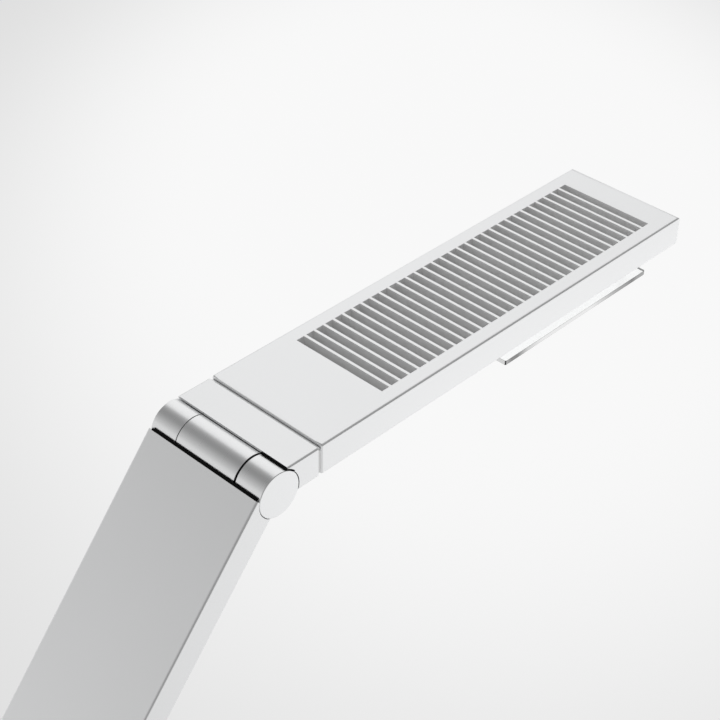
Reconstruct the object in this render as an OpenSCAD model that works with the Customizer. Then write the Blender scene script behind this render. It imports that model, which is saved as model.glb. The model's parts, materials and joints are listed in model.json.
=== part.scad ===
// Folding desk lamp: weighted base, turntable, two flat arms and a slotted head,
// joined by three barrel hinges that hold by friction, and a head that also rolls.
// Millimetres, +Z up. The origin is the centre of the foot pad's underside.
// The head points along +X and every barrel hinge turns about Y.

/* [Lamp] */
// Width of the head, the arms and the hinge barrels
lamp_w = 80; // [76:1:96]
// Radius along the long edges of the metal pieces
edge_r = 1.2; // [0.6:0.1:1.6]
// Radius of the upright corners at the head's tip and on the base
corner_r = 4; // [2:0.5:8]
// Clearance between pieces that are assembled and don't move
fit_gap = 0.05; // [0.03:0.01:0.1]
// Radial clearance where a pin or hub turns in its bush
run_gap = 0.05; // [0.03:0.01:0.09]

/* [Arms] */
// Length of each arm between its hinge axes
arm_l = 400; // [300:5:460]
// Thickness of the arms
arm_t = 17.4; // [16:0.1:20]
// Wall of the hollow arm profile
arm_wall = 2; // [1.6:0.1:2.4]
// Height of the arm's outer face above the hinge axis
arm_rise = 14; // [13.5:0.1:14.4]
// Distance of the arm's flat end edge from the hinge axis
arm_trim = 6.1; // [5:0.05:8]
// Thickness of the arm's end edge over the lip of its plug
arm_edge_t = 0.6; // [0.5:0.1:1]
// Distance of the plug's lip from the hinge axis
lip_start = 5; // [4:0.1:5.5]
// Length of the rebate for the plug's lip
arm_rebate_l = 2; // [1.5:0.1:3]
// Slope of the upper arm above level
upper_angle = 50; // [30:1:65]
// Slope of the lower arm above level
lower_angle = 110; // [90:1:120]

/* [Barrel hinges] */
// Radius of the hinge barrels
barrel_r = 13.2; // [12.8:0.1:13.8]
// Gap between a barrel and the hollow ends around it
barrel_gap = 0.3; // [0.3:0.1:0.8]
// Depth of the recess for the neck's seal
seal_depth = 0.6; // [0.4:0.1:0.8]
// Height of the seal's lower end above the hinge axis
seal_low = 9; // [8.8:0.1:9.6]
// Distance of the seal's upper end from the hinge axis, along the head
seal_back = 5.2; // [4:0.1:5.8]
// The seal's thin strip ends this far from the far side
seal_inset = 6; // [2:1:20]
// Width of the middle knuckle
knuckle_w = 42.4; // [40:0.2:46]
// Distance of the middle knuckle's centre from the lamp's middle, towards +Y
knuckle_shift = 0.3; // [0:0.1:0.5]
// Seam between the middle knuckle and the cup on the -Y side
near_seam = 1.2; // [0.8:0.1:1.5]
// Seam between the middle knuckle and the cup on the +Y side
far_seam = 0.4; // [0.3:0.1:0.8]
// Closed end of each cup
cup_end_t = 3; // [2:0.5:5]
// Thickness of the tongues that join the barrels to the arms
tongue_t = 10; // [8:0.5:10.5]
// Reach of the tongues from the hinge axis
tongue_l = 34; // [30:1:40]
// Width of each cup's tongue
cup_tongue_w = 12; // [10:1:13]
// Radius of the hinge pin
pin_r = 4; // [3.5:0.1:4.5]
// Radius of the cable hole along the pin
pin_hole_r = 2; // [1.5:0.1:2.5]
// Wall of the hinge bushes
bush_wall = 2; // [1.5:0.1:2.5]
// Radius of the friction chambers inside the knuckle
chamber_r = 9.5; // [9:0.1:10]
// Width of the solid web that carries the bushes
web_w = 14; // [12:0.5:16]
// Thickness of the bush flanges
flange_t = 1; // [0.8:0.1:1.5]
// Thickness of the friction discs
disc_t = 1.5; // [1:0.1:2]
// Sheet thickness of a cone spring
cone_t = 0.6; // [0.4:0.1:0.8]
// Height of a cone spring
cone_h = 1.3; // [1:0.1:1.6]
// Thickness of the hexagon nuts on the pin
pin_nut_t = 4; // [3:0.5:4.5]

/* [Neck and roll joint] */
// Distance of the hinge axis from the middle of the seam at the head
hinge_reach = 27.7; // [27:0.1:34]
// Width of the seam between neck and head
roll_seam = 2; // [1.2:0.1:2.4]
// Distance of the neck's flat upper edge from the hinge axis
neck_trim = 5.85; // [5:0.05:8]
// Step of the neck's top below the head's top
neck_step = 0.5; // [0.3:0.1:0.8]
// Step of the thrust plate's top and underside inside the neck's
plate_step = 1.2; // [0.8:0.1:2]
// Distance of the thrust plate's sides inside the neck's
plate_inset = 0.3; // [0.1:0.1:0.5]
// Running gap between the thrust plate and the head
plate_gap = 0.2; // [0.15:0.05:0.3]
// Radius of the roll shaft
roll_r = 4; // [3.5:0.1:4.2]
// Radius of the cable hole along the roll shaft
roll_hole_r = 2.2; // [1.5:0.1:2.4]
// Depth of the roll shaft in the neck
roll_depth = 11; // [9:0.5:12]
// Thickness of the head's end wall
end_wall = 6; // [5:0.5:8]
// Thickness of the nut on the roll shaft
roll_nut_t = 4; // [3:0.5:5]

/* [Head] */
// Length of the head from the seam to its tip
head_l = 299.9; // [260:0.1:330]
// Rounding of the head's upper edge at its tip
tip_r = 5; // [1.2:0.1:6]
// Corner radius of the head's tip in plan
tip_corner_r = 3; // [1.2:0.1:4]
// Thickness of the head
head_t = 18.8; // [17.5:0.1:20]
// Height of the head's top above the hinge axis
head_rise = 14.1; // [13.9:0.1:14.4]
// Side walls of the head
head_wall = 2.5; // [2:0.1:3]
// Top wall above the wiring space
head_roof = 2.2; // [1.8:0.1:3]
// Spacing of the cooling slots
slot_pitch = 7.13; // [6:0.01:9]
// Width of a cooling slot
slot_w = 5.15; // [3:0.05:5.4]
// Length of a cooling slot
slot_l = 62; // [50:1:66]
// Distance of the first slot's middle from the head's joint face
slot_start = 54.95; // [50:0.05:70]
// Least distance of the last slot's middle from the tip
slot_tip = 21.5; // [16:0.5:30]
// Thickness of the heat spreader under the fins
spreader_t = 2.5; // [2:0.1:3]
// Thickness of the light-emitter board
led_board_t = 1.6; // [1:0.1:2]
// Height of a light emitter
led_t = 0.7; // [0.5:0.1:0.9]
// Air space between the emitters and the diffuser
light_gap = 1.15; // [0.8:0.05:1.5]
// Lip of the diffuser above the underside cover
diffuser_lip = 0.8; // [0.6:0.1:1]
// Thickness of the underside cover
under_t = 1.5; // [1.2:0.1:2]

/* [Clear screen] */
// Length of the clear screen
screen_l = 126.5; // [100:0.5:150]
// Width of the clear screen
screen_w = 79; // [60:1:79]
// Thickness of the clear screen
screen_t = 3; // [2:0.5:4]
// Distance of the screen's rear edge from the head's joint face
screen_start = 142.1; // [120:0.1:150]
// Gap between the head's underside and the screen
screen_gap = 5.2; // [3:0.1:8]
// Distance of the stand-offs from the screen's edges
post_inset = 12; // [10:0.5:16]
// Radius of the stand-offs
post_r = 3; // [2.5:0.1:4]

/* [Base] */
// Length of the base along X
base_l = 230; // [210:1:260]
// Width of the base
base_w = 200; // [170:1:240]
// Height of the base's top above the table
base_h = 21; // [20:0.5:26]
// Thickness of the foot pad
pad_t = 1.5; // [1:0.1:2]
// Distance of the pad's edge from the base's edge
pad_inset = 6; // [4:0.5:10]
// Thickness of the steel ballast plate
ballast_t = 11; // [8:0.5:12]
// Wall of the base cover
cover_t = 2; // [1.6:0.1:2.5]
// Height of the cover's lower rim above the table
cover_lift = 2; // [1.8:0.1:3]
// Distance of the turntable's axis from the base's rear edge
swivel_inset = 53; // [50:1:70]

/* [Turntable] */
// Radius of the turntable
table_r = 45; // [44:0.5:48]
// Thickness of the turntable's disc
table_t = 3; // [2.5:0.5:4]
// Running gap between the turntable and the base cover
table_gap = 0.4; // [0.3:0.1:0.8]
// Height of the hinge axis above the turntable's disc
axis_lift = 16.5; // [16.3:0.1:20]
// Depth of the pedestal block along X
pedestal_l = 34; // [32:0.5:36]
// Distance of the pedestal's top below the hinge axis
pedestal_drop = 8.5; // [8:0.1:10]
// Radius of the hub through the base
hub_r = 11; // [9:0.5:12]
// Radius of the cable hole in the hub
hub_hole_r = 6; // [4:0.5:7]
// Wall of the swivel bush
swivel_wall = 2; // [1.5:0.1:3]
// Thickness of the nut under the ballast plate
swivel_nut_t = 4; // [3:0.5:5]
// Radius of the nut under the ballast plate
swivel_nut_r = 19; // [16:0.5:22]

/* [Controls] */
// Distance of the keys from the base's front edge
key_inset = 30; // [25:1:45]
// Radius of the power button
button_r = 8; // [6:0.5:10]
// Distance of the power button's middle from the base's middle line
button_y = 34; // [30:1:50]
// Length of the dimmer rocker
rocker_l = 44; // [36:1:50]
// Width of the dimmer rocker
rocker_w = 12; // [10:0.5:14]
// Distance of the rocker's middle from the base's middle line
rocker_y = 14; // [8:1:16]
// Height of the keys above the base's top
key_rise = 1; // [0.8:0.1:1.5]
// Gap around the keys
key_gap = 0.4; // [0.3:0.05:0.6]
// Travel of the power button
button_travel = 0.8; // [0.5:0.1:1]
// Radius of the rocker's trunnions
trunnion_r = 1; // [0.8:0.1:1.2]

/* [Screws] */
// Shank radius of the small screws
screw_r = 1.5; // [1.2:0.1:1.6]
// Head radius of the small screws
screw_head_r = 2.9; // [2.5:0.1:3.2]
// Shank radius of the large screws
bolt_r = 2; // [1.8:0.1:2.2]
// Head radius of the large screws
bolt_head_r = 3.9; // [3.5:0.1:4]

/* [Hidden] */
$fn = 64;
eps = 0.01;
// A cut runs this far past the face it opens
past = 1;
half_w = lamp_w/2;

// Places of the hinge axes
swivel_back = base_l/2 - swivel_inset;
table_z = base_h + table_gap;
base_axis = [-swivel_back, 0, table_z + table_t + axis_lift];
elbow_axis = base_axis + arm_l*[cos(lower_angle), 0, sin(lower_angle)];
head_axis = elbow_axis + arm_l*[cos(upper_angle), 0, sin(upper_angle)];

// Radii of the hollow ends around a barrel
socket_r = barrel_r + barrel_gap;
plug_depth = 9;
// Rims of the rings that lie inside a barrel
ring_margin = 0.2;
spring_margin = 0.8;
nut_margin = 1.2;
shim_margin = 0.9;

// Stations along a hinge pin, measured from the middle of the knuckle
knuckle_near = knuckle_w/2 - knuckle_shift;
knuckle_far = knuckle_w/2 + knuckle_shift;
half_web = web_w/2;
disc_at = half_web + flange_t + fit_gap;
cone_at = disc_at + disc_t + fit_gap;
nut_at = cone_at + 2*cone_h + 2*fit_gap;
pin_half = half_w - cup_end_t - 2*fit_gap;
cup_tongue_y = (knuckle_near + near_seam + half_w)/2;
tongue_shoulder = 3;
knuckle_tongue_w = knuckle_w - 2*tongue_shoulder;

// Screws in the tongues: their distance from the tongue's end and side, and the metal past their tips
tongue_screw_inset = 8;
screw_at = tongue_l - tongue_screw_inset;
tongue_side_inset = 7;
knuckle_screw_y = knuckle_tongue_w/2 - tongue_side_inset;
blind_t = 1;

// The arm's inner face lies this far past the hinge axis
arm_inner = arm_t - arm_rise;
// Heights of the tongues, which lie on the arm's inner wall
tongue_low = arm_wall - arm_inner + fit_gap;
tongue_high = tongue_low + tongue_t;

// Levels in the head, measured down from its top
fin_depth = head_t - under_t - diffuser_lip - light_gap - led_t - led_board_t - spreader_t;
spreader_top = fin_depth + fit_gap;
board_top = spreader_top + spreader_t;
led_top = board_top + led_board_t;
neck_front = hinge_reach - roll_seam/2;
head_back = hinge_reach + roll_seam/2;
roll_z = head_rise - head_t/2;
slot_room = head_l - slot_start - slot_tip;
slot_n = floor(slot_room/slot_pitch) + 1;
slots_end = slot_start + (slot_n - 1)*slot_pitch;
fin_margin = 5;
fins_from = slot_start - slot_w/2 - fin_margin;
fins_to = slots_end + slot_w/2 + fin_margin;
inside_w = lamp_w - 2*head_wall;
ledge_w = 1;

// Depth of the screws in the fins
screw_bite = 4;

// Tongue slots in the neck, and the roll bush
neck_wall = 4;
neck_tongue_l = neck_front - neck_wall;
neck_screw_x = neck_front - tongue_screw_inset;
roll_wall = 1.2;
roll_bush_r = roll_r + run_gap + roll_wall;
roll_nut_rim = 2.2;
shaft_past = 2;

// Lead inside an arm, and its connectors
lead_w = 5;
lead_t = 2.2;
connector_l = 10;
connector_w = 8;
connector_h = 5;
lead_gap = 4;
lead_end = tongue_l + lead_gap + connector_l;

// The light window over the clear screen
window_margin = 9;
window_l = screen_l - 2*window_margin;
window_w = 56;
window_mid = screen_start + screen_l/2;
lip_w = 2;
led_rows = 4;
led_cols = 12;
led_w = 3;
led_pitch_x = 8;
led_pitch_y = 12;
window_step = 0.3;
screen_post_inset = 5;
post_head_t = 1;
stem_past = 2;

// Screws that hold the cover on the ballast plate, and their posts
base_screw_inset = 16;
cover_post_r = 5;
screw_end_gap = 0.2;

// Nut and bush of the turntable
nut_lift = 0.6;
nut_room = 1.5;
nut_space = 1;
bush_from = pad_t + swivel_nut_t + nut_space;
swivel_bush_r = hub_r + run_gap + swivel_wall;
bush_brim = 4;
brim_gap = 0.1;
pedestal_screw_y = hub_r + bolt_head_r + 0.6;
pedestal_bite = 6;
pedestal_r = 2;
pedestal_step = 1;

// Levels in the base
ballast_top = pad_t + ballast_t;
cover_under = base_h - cover_t;
base_screw_l = cover_under - pad_t - blind_t;
ballast_gap = 0.3;
board_lift = 0.4;
board_t = 1.2;
board_edge = 14;
board_overhang = 4;
board_post_x = 10;
board_post_r = 2;
dome_r = 3;
dome_gap = 0.15;
side_dome_r = 2.5;
side_dome_gap = 1.15;
cradle_t = 4;
cradle_l = 8;
cradle_gap = 0.6;
cradle_margin = 1;
trunnion_step = 0.2;
key_x = base_l/2 - key_inset;
key_lip_t = 0.9;
key_lip_w = 1.4;
key_slack = 0.2;
key_bottom = cover_under - key_slack - key_lip_t;
control_board_top = ballast_top + board_lift + board_t;
switch_top = key_bottom - button_travel - dome_gap;
rocker_drop = 1.6;
rocker_axis_z = cover_under - rocker_drop;
rocker_bottom = rocker_axis_z - trunnion_r;
rocker_switch_inset = 5;
rocker_switch_y = rocker_l/2 - rocker_switch_inset;
inlet_l = 9;
inlet_w = 11;
inlet_h = 6;
inlet_space = 1;
inlet_z = cover_lift + (base_h - cover_lift)/2;
socket_w = 9;
socket_h = 3.2;
socket_wall = 0.6;
contact_recess = 1;
contact_margin = 1.6;
contact_t = 0.7;

// ---------- shared shapes ----------

// Rounded rectangle in the plane, centred
module rounded(l, w, r) {
  square([l - 2*r, w], center = true);
  square([l, w - 2*r], center = true);
  for (x = [-1, 1], y = [-1, 1]) translate([x*(l/2 - r), y*(w/2 - r)]) circle(r = r);
}

// Bar along +X with rounded long edges, its width centred on Y, from z0 up to z1
module bar(x0, x1, w, z0, z1, r) {
  translate([x0, 0, (z0 + z1)/2]) rotate([90, 0, 90])
    linear_extrude(x1 - x0) rounded(w, z1 - z0, r);
}

// Upright slab with rounded corners and a rounded top edge
module slab(l, w, z0, z1, corner, edge) {
  intersection() {
    translate([0, 0, z0]) linear_extrude(z1 - z0) rounded(l, w, corner);
    bar(-l/2 - past, l/2 + past, w, z0 - 2*edge, z1, edge);
    rotate([0, 0, 90]) bar(-w/2 - past, w/2 + past, l, z0 - 2*edge, z1, edge);
  }
}

// Cylinder along Y between two stations
module along_y(r, y0, y1) {
  translate([0, y1, 0]) rotate([90, 0, 0]) cylinder(r = r, h = y1 - y0);
}

// Ring along Y between two stations
module ring_y(r_out, r_in, y0, y1) {
  difference() {
    along_y(r_out, y0, y1);
    along_y(r_in, y0 - past, y1 + past);
  }
}

// Block given by its lowest and highest corners
module block(lo, hi) {
  translate(lo) cube(hi - lo);
}

// Countersunk screw: the head's face is at z = 0 and the shank points up
module screw(r, head_r, l) {
  cylinder(r1 = head_r, r2 = r, h = head_r - r);
  cylinder(r = r, h = l);
}

// Hole for such a screw
module screw_hole(r, head_r, l) {
  translate([0, 0, -eps]) cylinder(r1 = head_r + 2*fit_gap, r2 = r + fit_gap, h = head_r - r + fit_gap);
  translate([0, 0, -past]) cylinder(r = head_r + 2*fit_gap, h = past);
  cylinder(r = r + fit_gap, h = l);
}

// Frames of the moving pieces
module in_lower_arm() { translate(base_axis) rotate([0, -lower_angle, 0]) children(); }
module in_upper_arm() { translate(elbow_axis) rotate([0, -upper_angle, 0]) children(); }
module in_head() { translate(head_axis) children(); }
module at_arm_top() { translate([arm_l, 0, 0]) mirror([1, 0, 0]) children(); }
module in_roll() { in_head() translate([0, 0, roll_z]) rotate([0, 90, 0]) children(); }

// ---------- pieces of a barrel hinge, with its axis on Y ----------

// Middle knuckle with its friction chambers; the tongue lies between two heights
module knuckle(tongue_z0, tongue_z1, reach) {
  difference() {
    union() {
      along_y(barrel_r, -knuckle_near, knuckle_far);
      block([0, -knuckle_tongue_w/2, tongue_z0], [reach, knuckle_tongue_w/2, tongue_z1]);
    }
    along_y(pin_r + run_gap + bush_wall, -half_w, half_w);
    for (s = [0, 1]) mirror([0, s, 0]) along_y(chamber_r, half_web, half_w);
  }
}

// The two cups at the ends of the barrel, each with its own tongue
module cups(reach) {
  difference() {
    union() {
      along_y(barrel_r, knuckle_far + far_seam, half_w);
      along_y(barrel_r, -half_w, -knuckle_near - near_seam);
      for (s = [-1, 1])
        block([0, s*cup_tongue_y - cup_tongue_w/2, tongue_low],
              [reach, s*cup_tongue_y + cup_tongue_w/2, tongue_high]);
    }
    along_y(pin_r + fit_gap, -pin_half - fit_gap, pin_half + fit_gap);
  }
}

// Hollow pin that is keyed in both cups
module pin() {
  ring_y(pin_r, pin_hole_r, -pin_half, pin_half);
}

// Flanged bushes pressed in the knuckle's web
module bushes() {
  for (s = [0, 1]) mirror([0, s, 0]) {
    ring_y(pin_r + run_gap + bush_wall - fit_gap, pin_r + run_gap, fit_gap, half_web);
    ring_y(chamber_r - 2*fit_gap, pin_r + run_gap, half_web, half_web + flange_t);
  }
}

// Bronze friction discs, keyed to the knuckle
module friction_discs() {
  for (s = [0, 1]) mirror([0, s, 0])
    ring_y(chamber_r - 2*fit_gap, pin_r + run_gap, disc_at, disc_at + disc_t);
}

// Pairs of cone springs that press the discs together
module cone_springs() {
  r_in = pin_r + ring_margin;
  r_out = chamber_r - spring_margin;
  for (s = [0, 1]) mirror([0, s, 0]) {
    translate([0, cone_at + fit_gap, 0]) rotate([-90, 0, 0]) rotate_extrude()
      polygon([[r_in, cone_h - cone_t], [r_in, cone_h], [r_out, cone_t], [r_out, 0]]);
    translate([0, cone_at + 2*fit_gap + 2*cone_h, 0]) rotate([90, 0, 0]) rotate_extrude()
      polygon([[r_in, cone_h - cone_t], [r_in, cone_h], [r_out, cone_t], [r_out, 0]]);
  }
}

// Hexagon nuts that set the friction
module pin_nuts() {
  for (s = [0, 1]) mirror([0, s, 0]) translate([0, nut_at + fit_gap, 0]) rotate([-90, 0, 0])
    difference() {
      cylinder(r = chamber_r - nut_margin, h = pin_nut_t, $fn = 6);
      translate([0, 0, -past]) cylinder(r = pin_r + fit_gap, h = pin_nut_t + 2*past);
    }
}

// Arc beside the near cup, up to a radius, above a height and in front of a distance
module seal_arc(r, y0, y1, low, back) {
  intersection() {
    along_y(r, y0, y1);
    block([back, y0, low], [2*r, y1, 2*r]);
  }
}

// Thin black shims that fill the two seams of the barrel
module shims() {
  r_out = barrel_r - shim_margin;
  ring_y(r_out, pin_r + fit_gap, knuckle_far + fit_gap, knuckle_far + far_seam - fit_gap);
  ring_y(r_out, pin_r + fit_gap, -knuckle_near - near_seam + fit_gap, -knuckle_near - fit_gap);
}

// ---------- arms ----------

// Hollow aluminium profile: each end is hollowed around a barrel, and its outer wall is
// trimmed flat and rebated for the lip of the plug
module arm_profile() {
  difference() {
    bar(0, arm_l, lamp_w, -arm_inner, arm_rise, edge_r);
    block([-past, -half_w + arm_wall, -arm_inner + arm_wall],
          [arm_l + past, half_w - arm_wall, arm_rise - arm_wall]);
    arm_end();
    at_arm_top() arm_end();
    arm_fixings() screw_hole(screw_r, screw_head_r, arm_wall + past);
  }
}

// What is milled away at an arm's end
module arm_end() {
  along_y(socket_r, -half_w - past, half_w + past);
  block([-past, -half_w - past, 0], [arm_trim, half_w + past, arm_rise + past]);
  block([0, -half_w + arm_wall, arm_rise - arm_wall - eps],
        [arm_trim + arm_rebate_l, half_w - arm_wall, arm_rise - arm_edge_t]);
}

// Places of the screws in an arm: two through each cup tongue and two through the knuckle's
module arm_fixings() {
  z = -arm_inner;
  for (s = [-1, 1]) {
    translate([screw_at, s*cup_tongue_y, z]) children();
    at_arm_top() translate([screw_at, s*knuckle_screw_y, z]) children();
  }
}

// Black plugs that close the profile around the tongues
module arm_plugs() {
  difference() {
    plug();
    for (s = [-1, 1])
      block([0, s*cup_tongue_y - cup_tongue_w/2 - fit_gap, -arm_inner],
            [tongue_l, s*cup_tongue_y + cup_tongue_w/2 + fit_gap, tongue_high + fit_gap]);
  }
  at_arm_top() difference() {
    plug();
    block([0, -knuckle_tongue_w/2 - fit_gap, -arm_inner],
          [tongue_l, knuckle_tongue_w/2 + fit_gap, tongue_high + fit_gap]);
  }
}

// One plug before its tongue slots are cut, with the lip under the arm's end edge
module plug() {
  z0 = -arm_inner + arm_wall + fit_gap;
  z1 = arm_rise - arm_wall - fit_gap;
  y1 = half_w - arm_wall - fit_gap;
  difference() {
    union() {
      block([0, -y1, z0], [socket_r + plug_depth, y1, z1]);
      block([lip_start, -y1, z1 - past],
            [arm_trim + arm_rebate_l - fit_gap, y1, arm_rise - arm_edge_t - fit_gap]);
    }
    along_y(socket_r + fit_gap, -half_w, half_w);
  }
}

// Screws that fix the tongues in an arm
module arm_screws() {
  arm_fixings() screw(screw_r, screw_head_r, arm_inner + tongue_high - blind_t);
}

// Flat two-core lead with a connector at each end, along the inside of an arm
module arm_lead() {
  y = half_w - arm_wall - lead_w;
  z = -arm_inner + arm_wall + fit_gap;
  translate([lead_end, y, z + lead_t/2]) rotate([90, 0, 90])
    linear_extrude(arm_l - 2*lead_end) rounded(lead_w, lead_t, lead_t/2 - eps);
  for (x = [lead_end - connector_l - fit_gap, arm_l - lead_end + fit_gap])
    block([x, y - connector_w/2, z], [x + connector_l, y + connector_w/2, z + connector_h]);
}

// ---------- base ----------

// Non-slip pad under the whole base
module foot_pad() color([0.12, 0.12, 0.13])
  linear_extrude(pad_t)
    rounded(base_l - 2*pad_inset, base_w - 2*pad_inset, corner_r);

// Steel plate that weighs the base down
module base_plate() color([0.45, 0.46, 0.48]) {
  l = base_l - 2*cover_t - 2*ballast_gap;
  w = base_w - 2*cover_t - 2*ballast_gap;
  difference() {
    translate([0, 0, pad_t + fit_gap]) linear_extrude(ballast_t - fit_gap) rounded(l, w, corner_r);
    translate([-swivel_back, 0, 0]) {
      cylinder(r = swivel_bush_r + fit_gap, h = base_h);
      cylinder(r = swivel_nut_r + nut_room, h = bush_from);
    }
    block([-base_l/2, -inlet_w/2 - ballast_gap, inlet_z - inlet_h/2 - ballast_gap],
          [-base_l/2 + cover_t + inlet_l + inlet_space, inlet_w/2 + ballast_gap, base_h]);
    base_fixings() screw_hole(bolt_r, bolt_head_r, ballast_t + past);
  }
}

// Places of the screws that hold the cover on the ballast plate
module base_fixings() {
  for (x = [-1, 1], y = [-1, 1])
    translate([x*(base_l/2 - base_screw_inset), y*(base_w/2 - base_screw_inset), pad_t + fit_gap])
      children();
}

module base_screws() color([0.6, 0.6, 0.62])
  base_fixings() screw(bolt_r, bolt_head_r, base_screw_l);

// Aluminium shell over the plate, with screw posts inside
module base_cover() color([0.87, 0.88, 0.88]) {
  difference() {
    union() {
      difference() {
        slab(base_l, base_w, cover_lift, base_h, corner_r, edge_r);
        translate([0, 0, cover_lift - past])
          linear_extrude(cover_under - cover_lift + past)
            rounded(base_l - 2*cover_t, base_w - 2*cover_t, corner_r - cover_t/2);
      }
      base_fixings() translate([0, 0, ballast_t])
        cylinder(r = cover_post_r, h = cover_under - ballast_top + eps);
    }
    base_fixings() cylinder(r = bolt_r + fit_gap, h = base_screw_l + screw_end_gap);
    translate([-swivel_back, 0, 0]) cylinder(r = swivel_bush_r + fit_gap, h = base_h + past);
    translate([key_x, button_y, cover_under - past]) cylinder(r = button_r + key_gap, h = cover_t + 2*past);
    block([key_x - rocker_w/2 - key_gap, -rocker_y - rocker_l/2 - key_gap, cover_under - past],
          [key_x + rocker_w/2 + key_gap, -rocker_y + rocker_l/2 + key_gap, base_h + past]);
    translate([-base_l/2 - past, 0, inlet_z]) inlet_oval(cover_t + 2*past, socket_wall + fit_gap);
  }
}

// Oval prism along +X, as wide as the socket's mouth plus a margin all round
module inlet_oval(l, margin) {
  rotate([90, 0, 90]) linear_extrude(l)
    rounded(socket_w + 2*margin, socket_h + 2*margin, socket_h/2 + margin - eps);
}

// Circuit board with its dome switches
module control_board() color([0.1, 0.35, 0.2]) {
  y0 = -rocker_y - rocker_l/2;
  y1 = button_y + board_edge;
  block([key_x - board_edge, y0 - board_overhang, ballast_top + board_lift],
        [key_x + board_edge, y1, control_board_top]);
  translate([key_x, button_y, control_board_top])
    cylinder(r = dome_r, h = switch_top - control_board_top);
  for (s = [-1, 1])
    translate([key_x, -rocker_y + s*rocker_switch_y, control_board_top])
      cylinder(r = side_dome_r, h = rocker_bottom - side_dome_gap - control_board_top);
  for (x = [-1, 1], y = [y0, y1 - board_overhang])
    translate([key_x + x*board_post_x, y, ballast_top])
      cylinder(r = board_post_r, h = board_lift + eps);
}

// Two bearing blocks under the cover that hold the rocker's trunnions
module rocker_cradle() color([0.15, 0.15, 0.16]) {
  for (s = [-1, 1])
    translate([key_x + s*(rocker_w/2 + key_gap + cradle_gap + cradle_t/2), -rocker_y, 0])
      difference() {
        block([-cradle_t/2, -cradle_l/2, rocker_axis_z - trunnion_r - cradle_margin],
              [cradle_t/2, cradle_l/2, cover_under - fit_gap]);
        translate([-cradle_t/2 - past, 0, rocker_axis_z]) rotate([0, 90, 0])
          cylinder(r = trunnion_r + run_gap, h = cradle_t + 2*past);
      }
}

// Oval low-voltage socket in the rear wall, with its contact tongue
module power_inlet() color([0.1, 0.1, 0.11])
  translate([-base_l/2, 0, inlet_z]) {
    difference() {
      union() {
        block([cover_t + fit_gap, -inlet_w/2, -inlet_h/2], [cover_t + inlet_l, inlet_w/2, inlet_h/2]);
        inlet_oval(cover_t + past, socket_wall);
      }
      translate([-past, 0, 0]) inlet_oval(inlet_l + past, 0);
    }
    block([contact_recess, -socket_w/2 + contact_margin, -contact_t/2],
          [inlet_l + eps, socket_w/2 - contact_margin, contact_t/2]);
  }

// Flanged plastic bush that the turntable's hub turns in
module swivel_bush() color([0.2, 0.2, 0.21]) {
  z0 = bush_from + fit_gap;
  z1 = table_z - brim_gap;
  translate([-swivel_back, 0, 0]) difference() {
    union() {
      translate([0, 0, z0]) cylinder(r = swivel_bush_r, h = z1 - z0);
      translate([0, 0, base_h + 2*eps]) cylinder(r = swivel_bush_r + bush_brim, h = z1 - base_h - 2*eps);
    }
    translate([0, 0, z0 - past]) cylinder(r = hub_r + run_gap, h = base_h);
  }
}

// Button that stands in its hole, with a lip under the cover
module power_button() color([0.8, 0.81, 0.82])
  translate([key_x, button_y, 0]) {
    translate([0, 0, key_bottom]) cylinder(r = button_r + key_lip_w, h = key_lip_t);
    translate([0, 0, key_bottom]) cylinder(r = button_r, h = base_h + key_rise - key_bottom);
  }

// Rocker that tips about X on its two trunnions
module dimmer_rocker() color([0.8, 0.81, 0.82])
  translate([key_x, -rocker_y, 0]) {
    block([-rocker_w/2, -rocker_l/2, rocker_bottom], [rocker_w/2, rocker_l/2, base_h + key_rise]);
    reach = rocker_w/2 + key_gap + cradle_gap + cradle_t - trunnion_step;
    translate([-reach, 0, rocker_axis_z]) rotate([0, 90, 0]) cylinder(r = trunnion_r, h = 2*reach);
  }

// ---------- turntable ----------

// Disc, hub and pedestal in one casting; the pedestal is hollowed around the barrel
module turntable() color([0.87, 0.88, 0.88])
  translate([-swivel_back, 0, 0]) difference() {
    union() {
      translate([0, 0, table_z]) cylinder(r = table_r, h = table_t);
      translate([0, 0, pad_t + nut_lift]) cylinder(r = hub_r, h = table_z - pad_t);
      translate([0, 0, table_z])
        linear_extrude(base_axis[2] - pedestal_drop - table_z)
          rounded(pedestal_l, lamp_w - 2*pedestal_step, pedestal_r);
    }
    translate([0, 0, 0]) cylinder(r = hub_hole_r, h = table_z + 1);
    translate([0, 0, base_axis[2]]) along_y(socket_r, -half_w - past, half_w + past);
    block([-tongue_t/2 - fit_gap, -knuckle_tongue_w/2 - fit_gap, table_z + table_t],
          [tongue_t/2 + fit_gap, knuckle_tongue_w/2 + fit_gap, base_axis[2]]);
    pedestal_fixings() screw_hole(bolt_r, bolt_head_r, table_t + past);
  }

// Places of the screws from the disc's underside into the knuckle's tongue
module pedestal_fixings() {
  for (s = [-1, 1]) translate([0, s*pedestal_screw_y, table_z]) children();
}

module pedestal_screws() color([0.6, 0.6, 0.62])
  translate([-swivel_back, 0, 0]) pedestal_fixings()
    screw(bolt_r, bolt_head_r, table_t + pedestal_bite - blind_t);

// Round nut on the hub, under the ballast plate
module swivel_nut() color([0.6, 0.6, 0.62])
  translate([-swivel_back, 0, pad_t + nut_lift]) difference() {
    cylinder(r = swivel_nut_r, h = swivel_nut_t);
    translate([0, 0, -past]) cylinder(r = hub_r + fit_gap, h = swivel_nut_t + 2*past);
  }

// Knuckle whose tongue stands upright in the pedestal
module base_knuckle() color([0.8, 0.81, 0.82])
  translate(base_axis) rotate([0, 90, 0]) difference() {
    knuckle(-tongue_t/2, tongue_t/2, axis_lift - fit_gap);
    for (s = [-1, 1])
      translate([axis_lift - pedestal_bite, s*pedestal_screw_y, 0]) rotate([0, 90, 0])
        cylinder(r = bolt_r + fit_gap, h = pedestal_bite + past);
  }

// ---------- neck ----------

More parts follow.
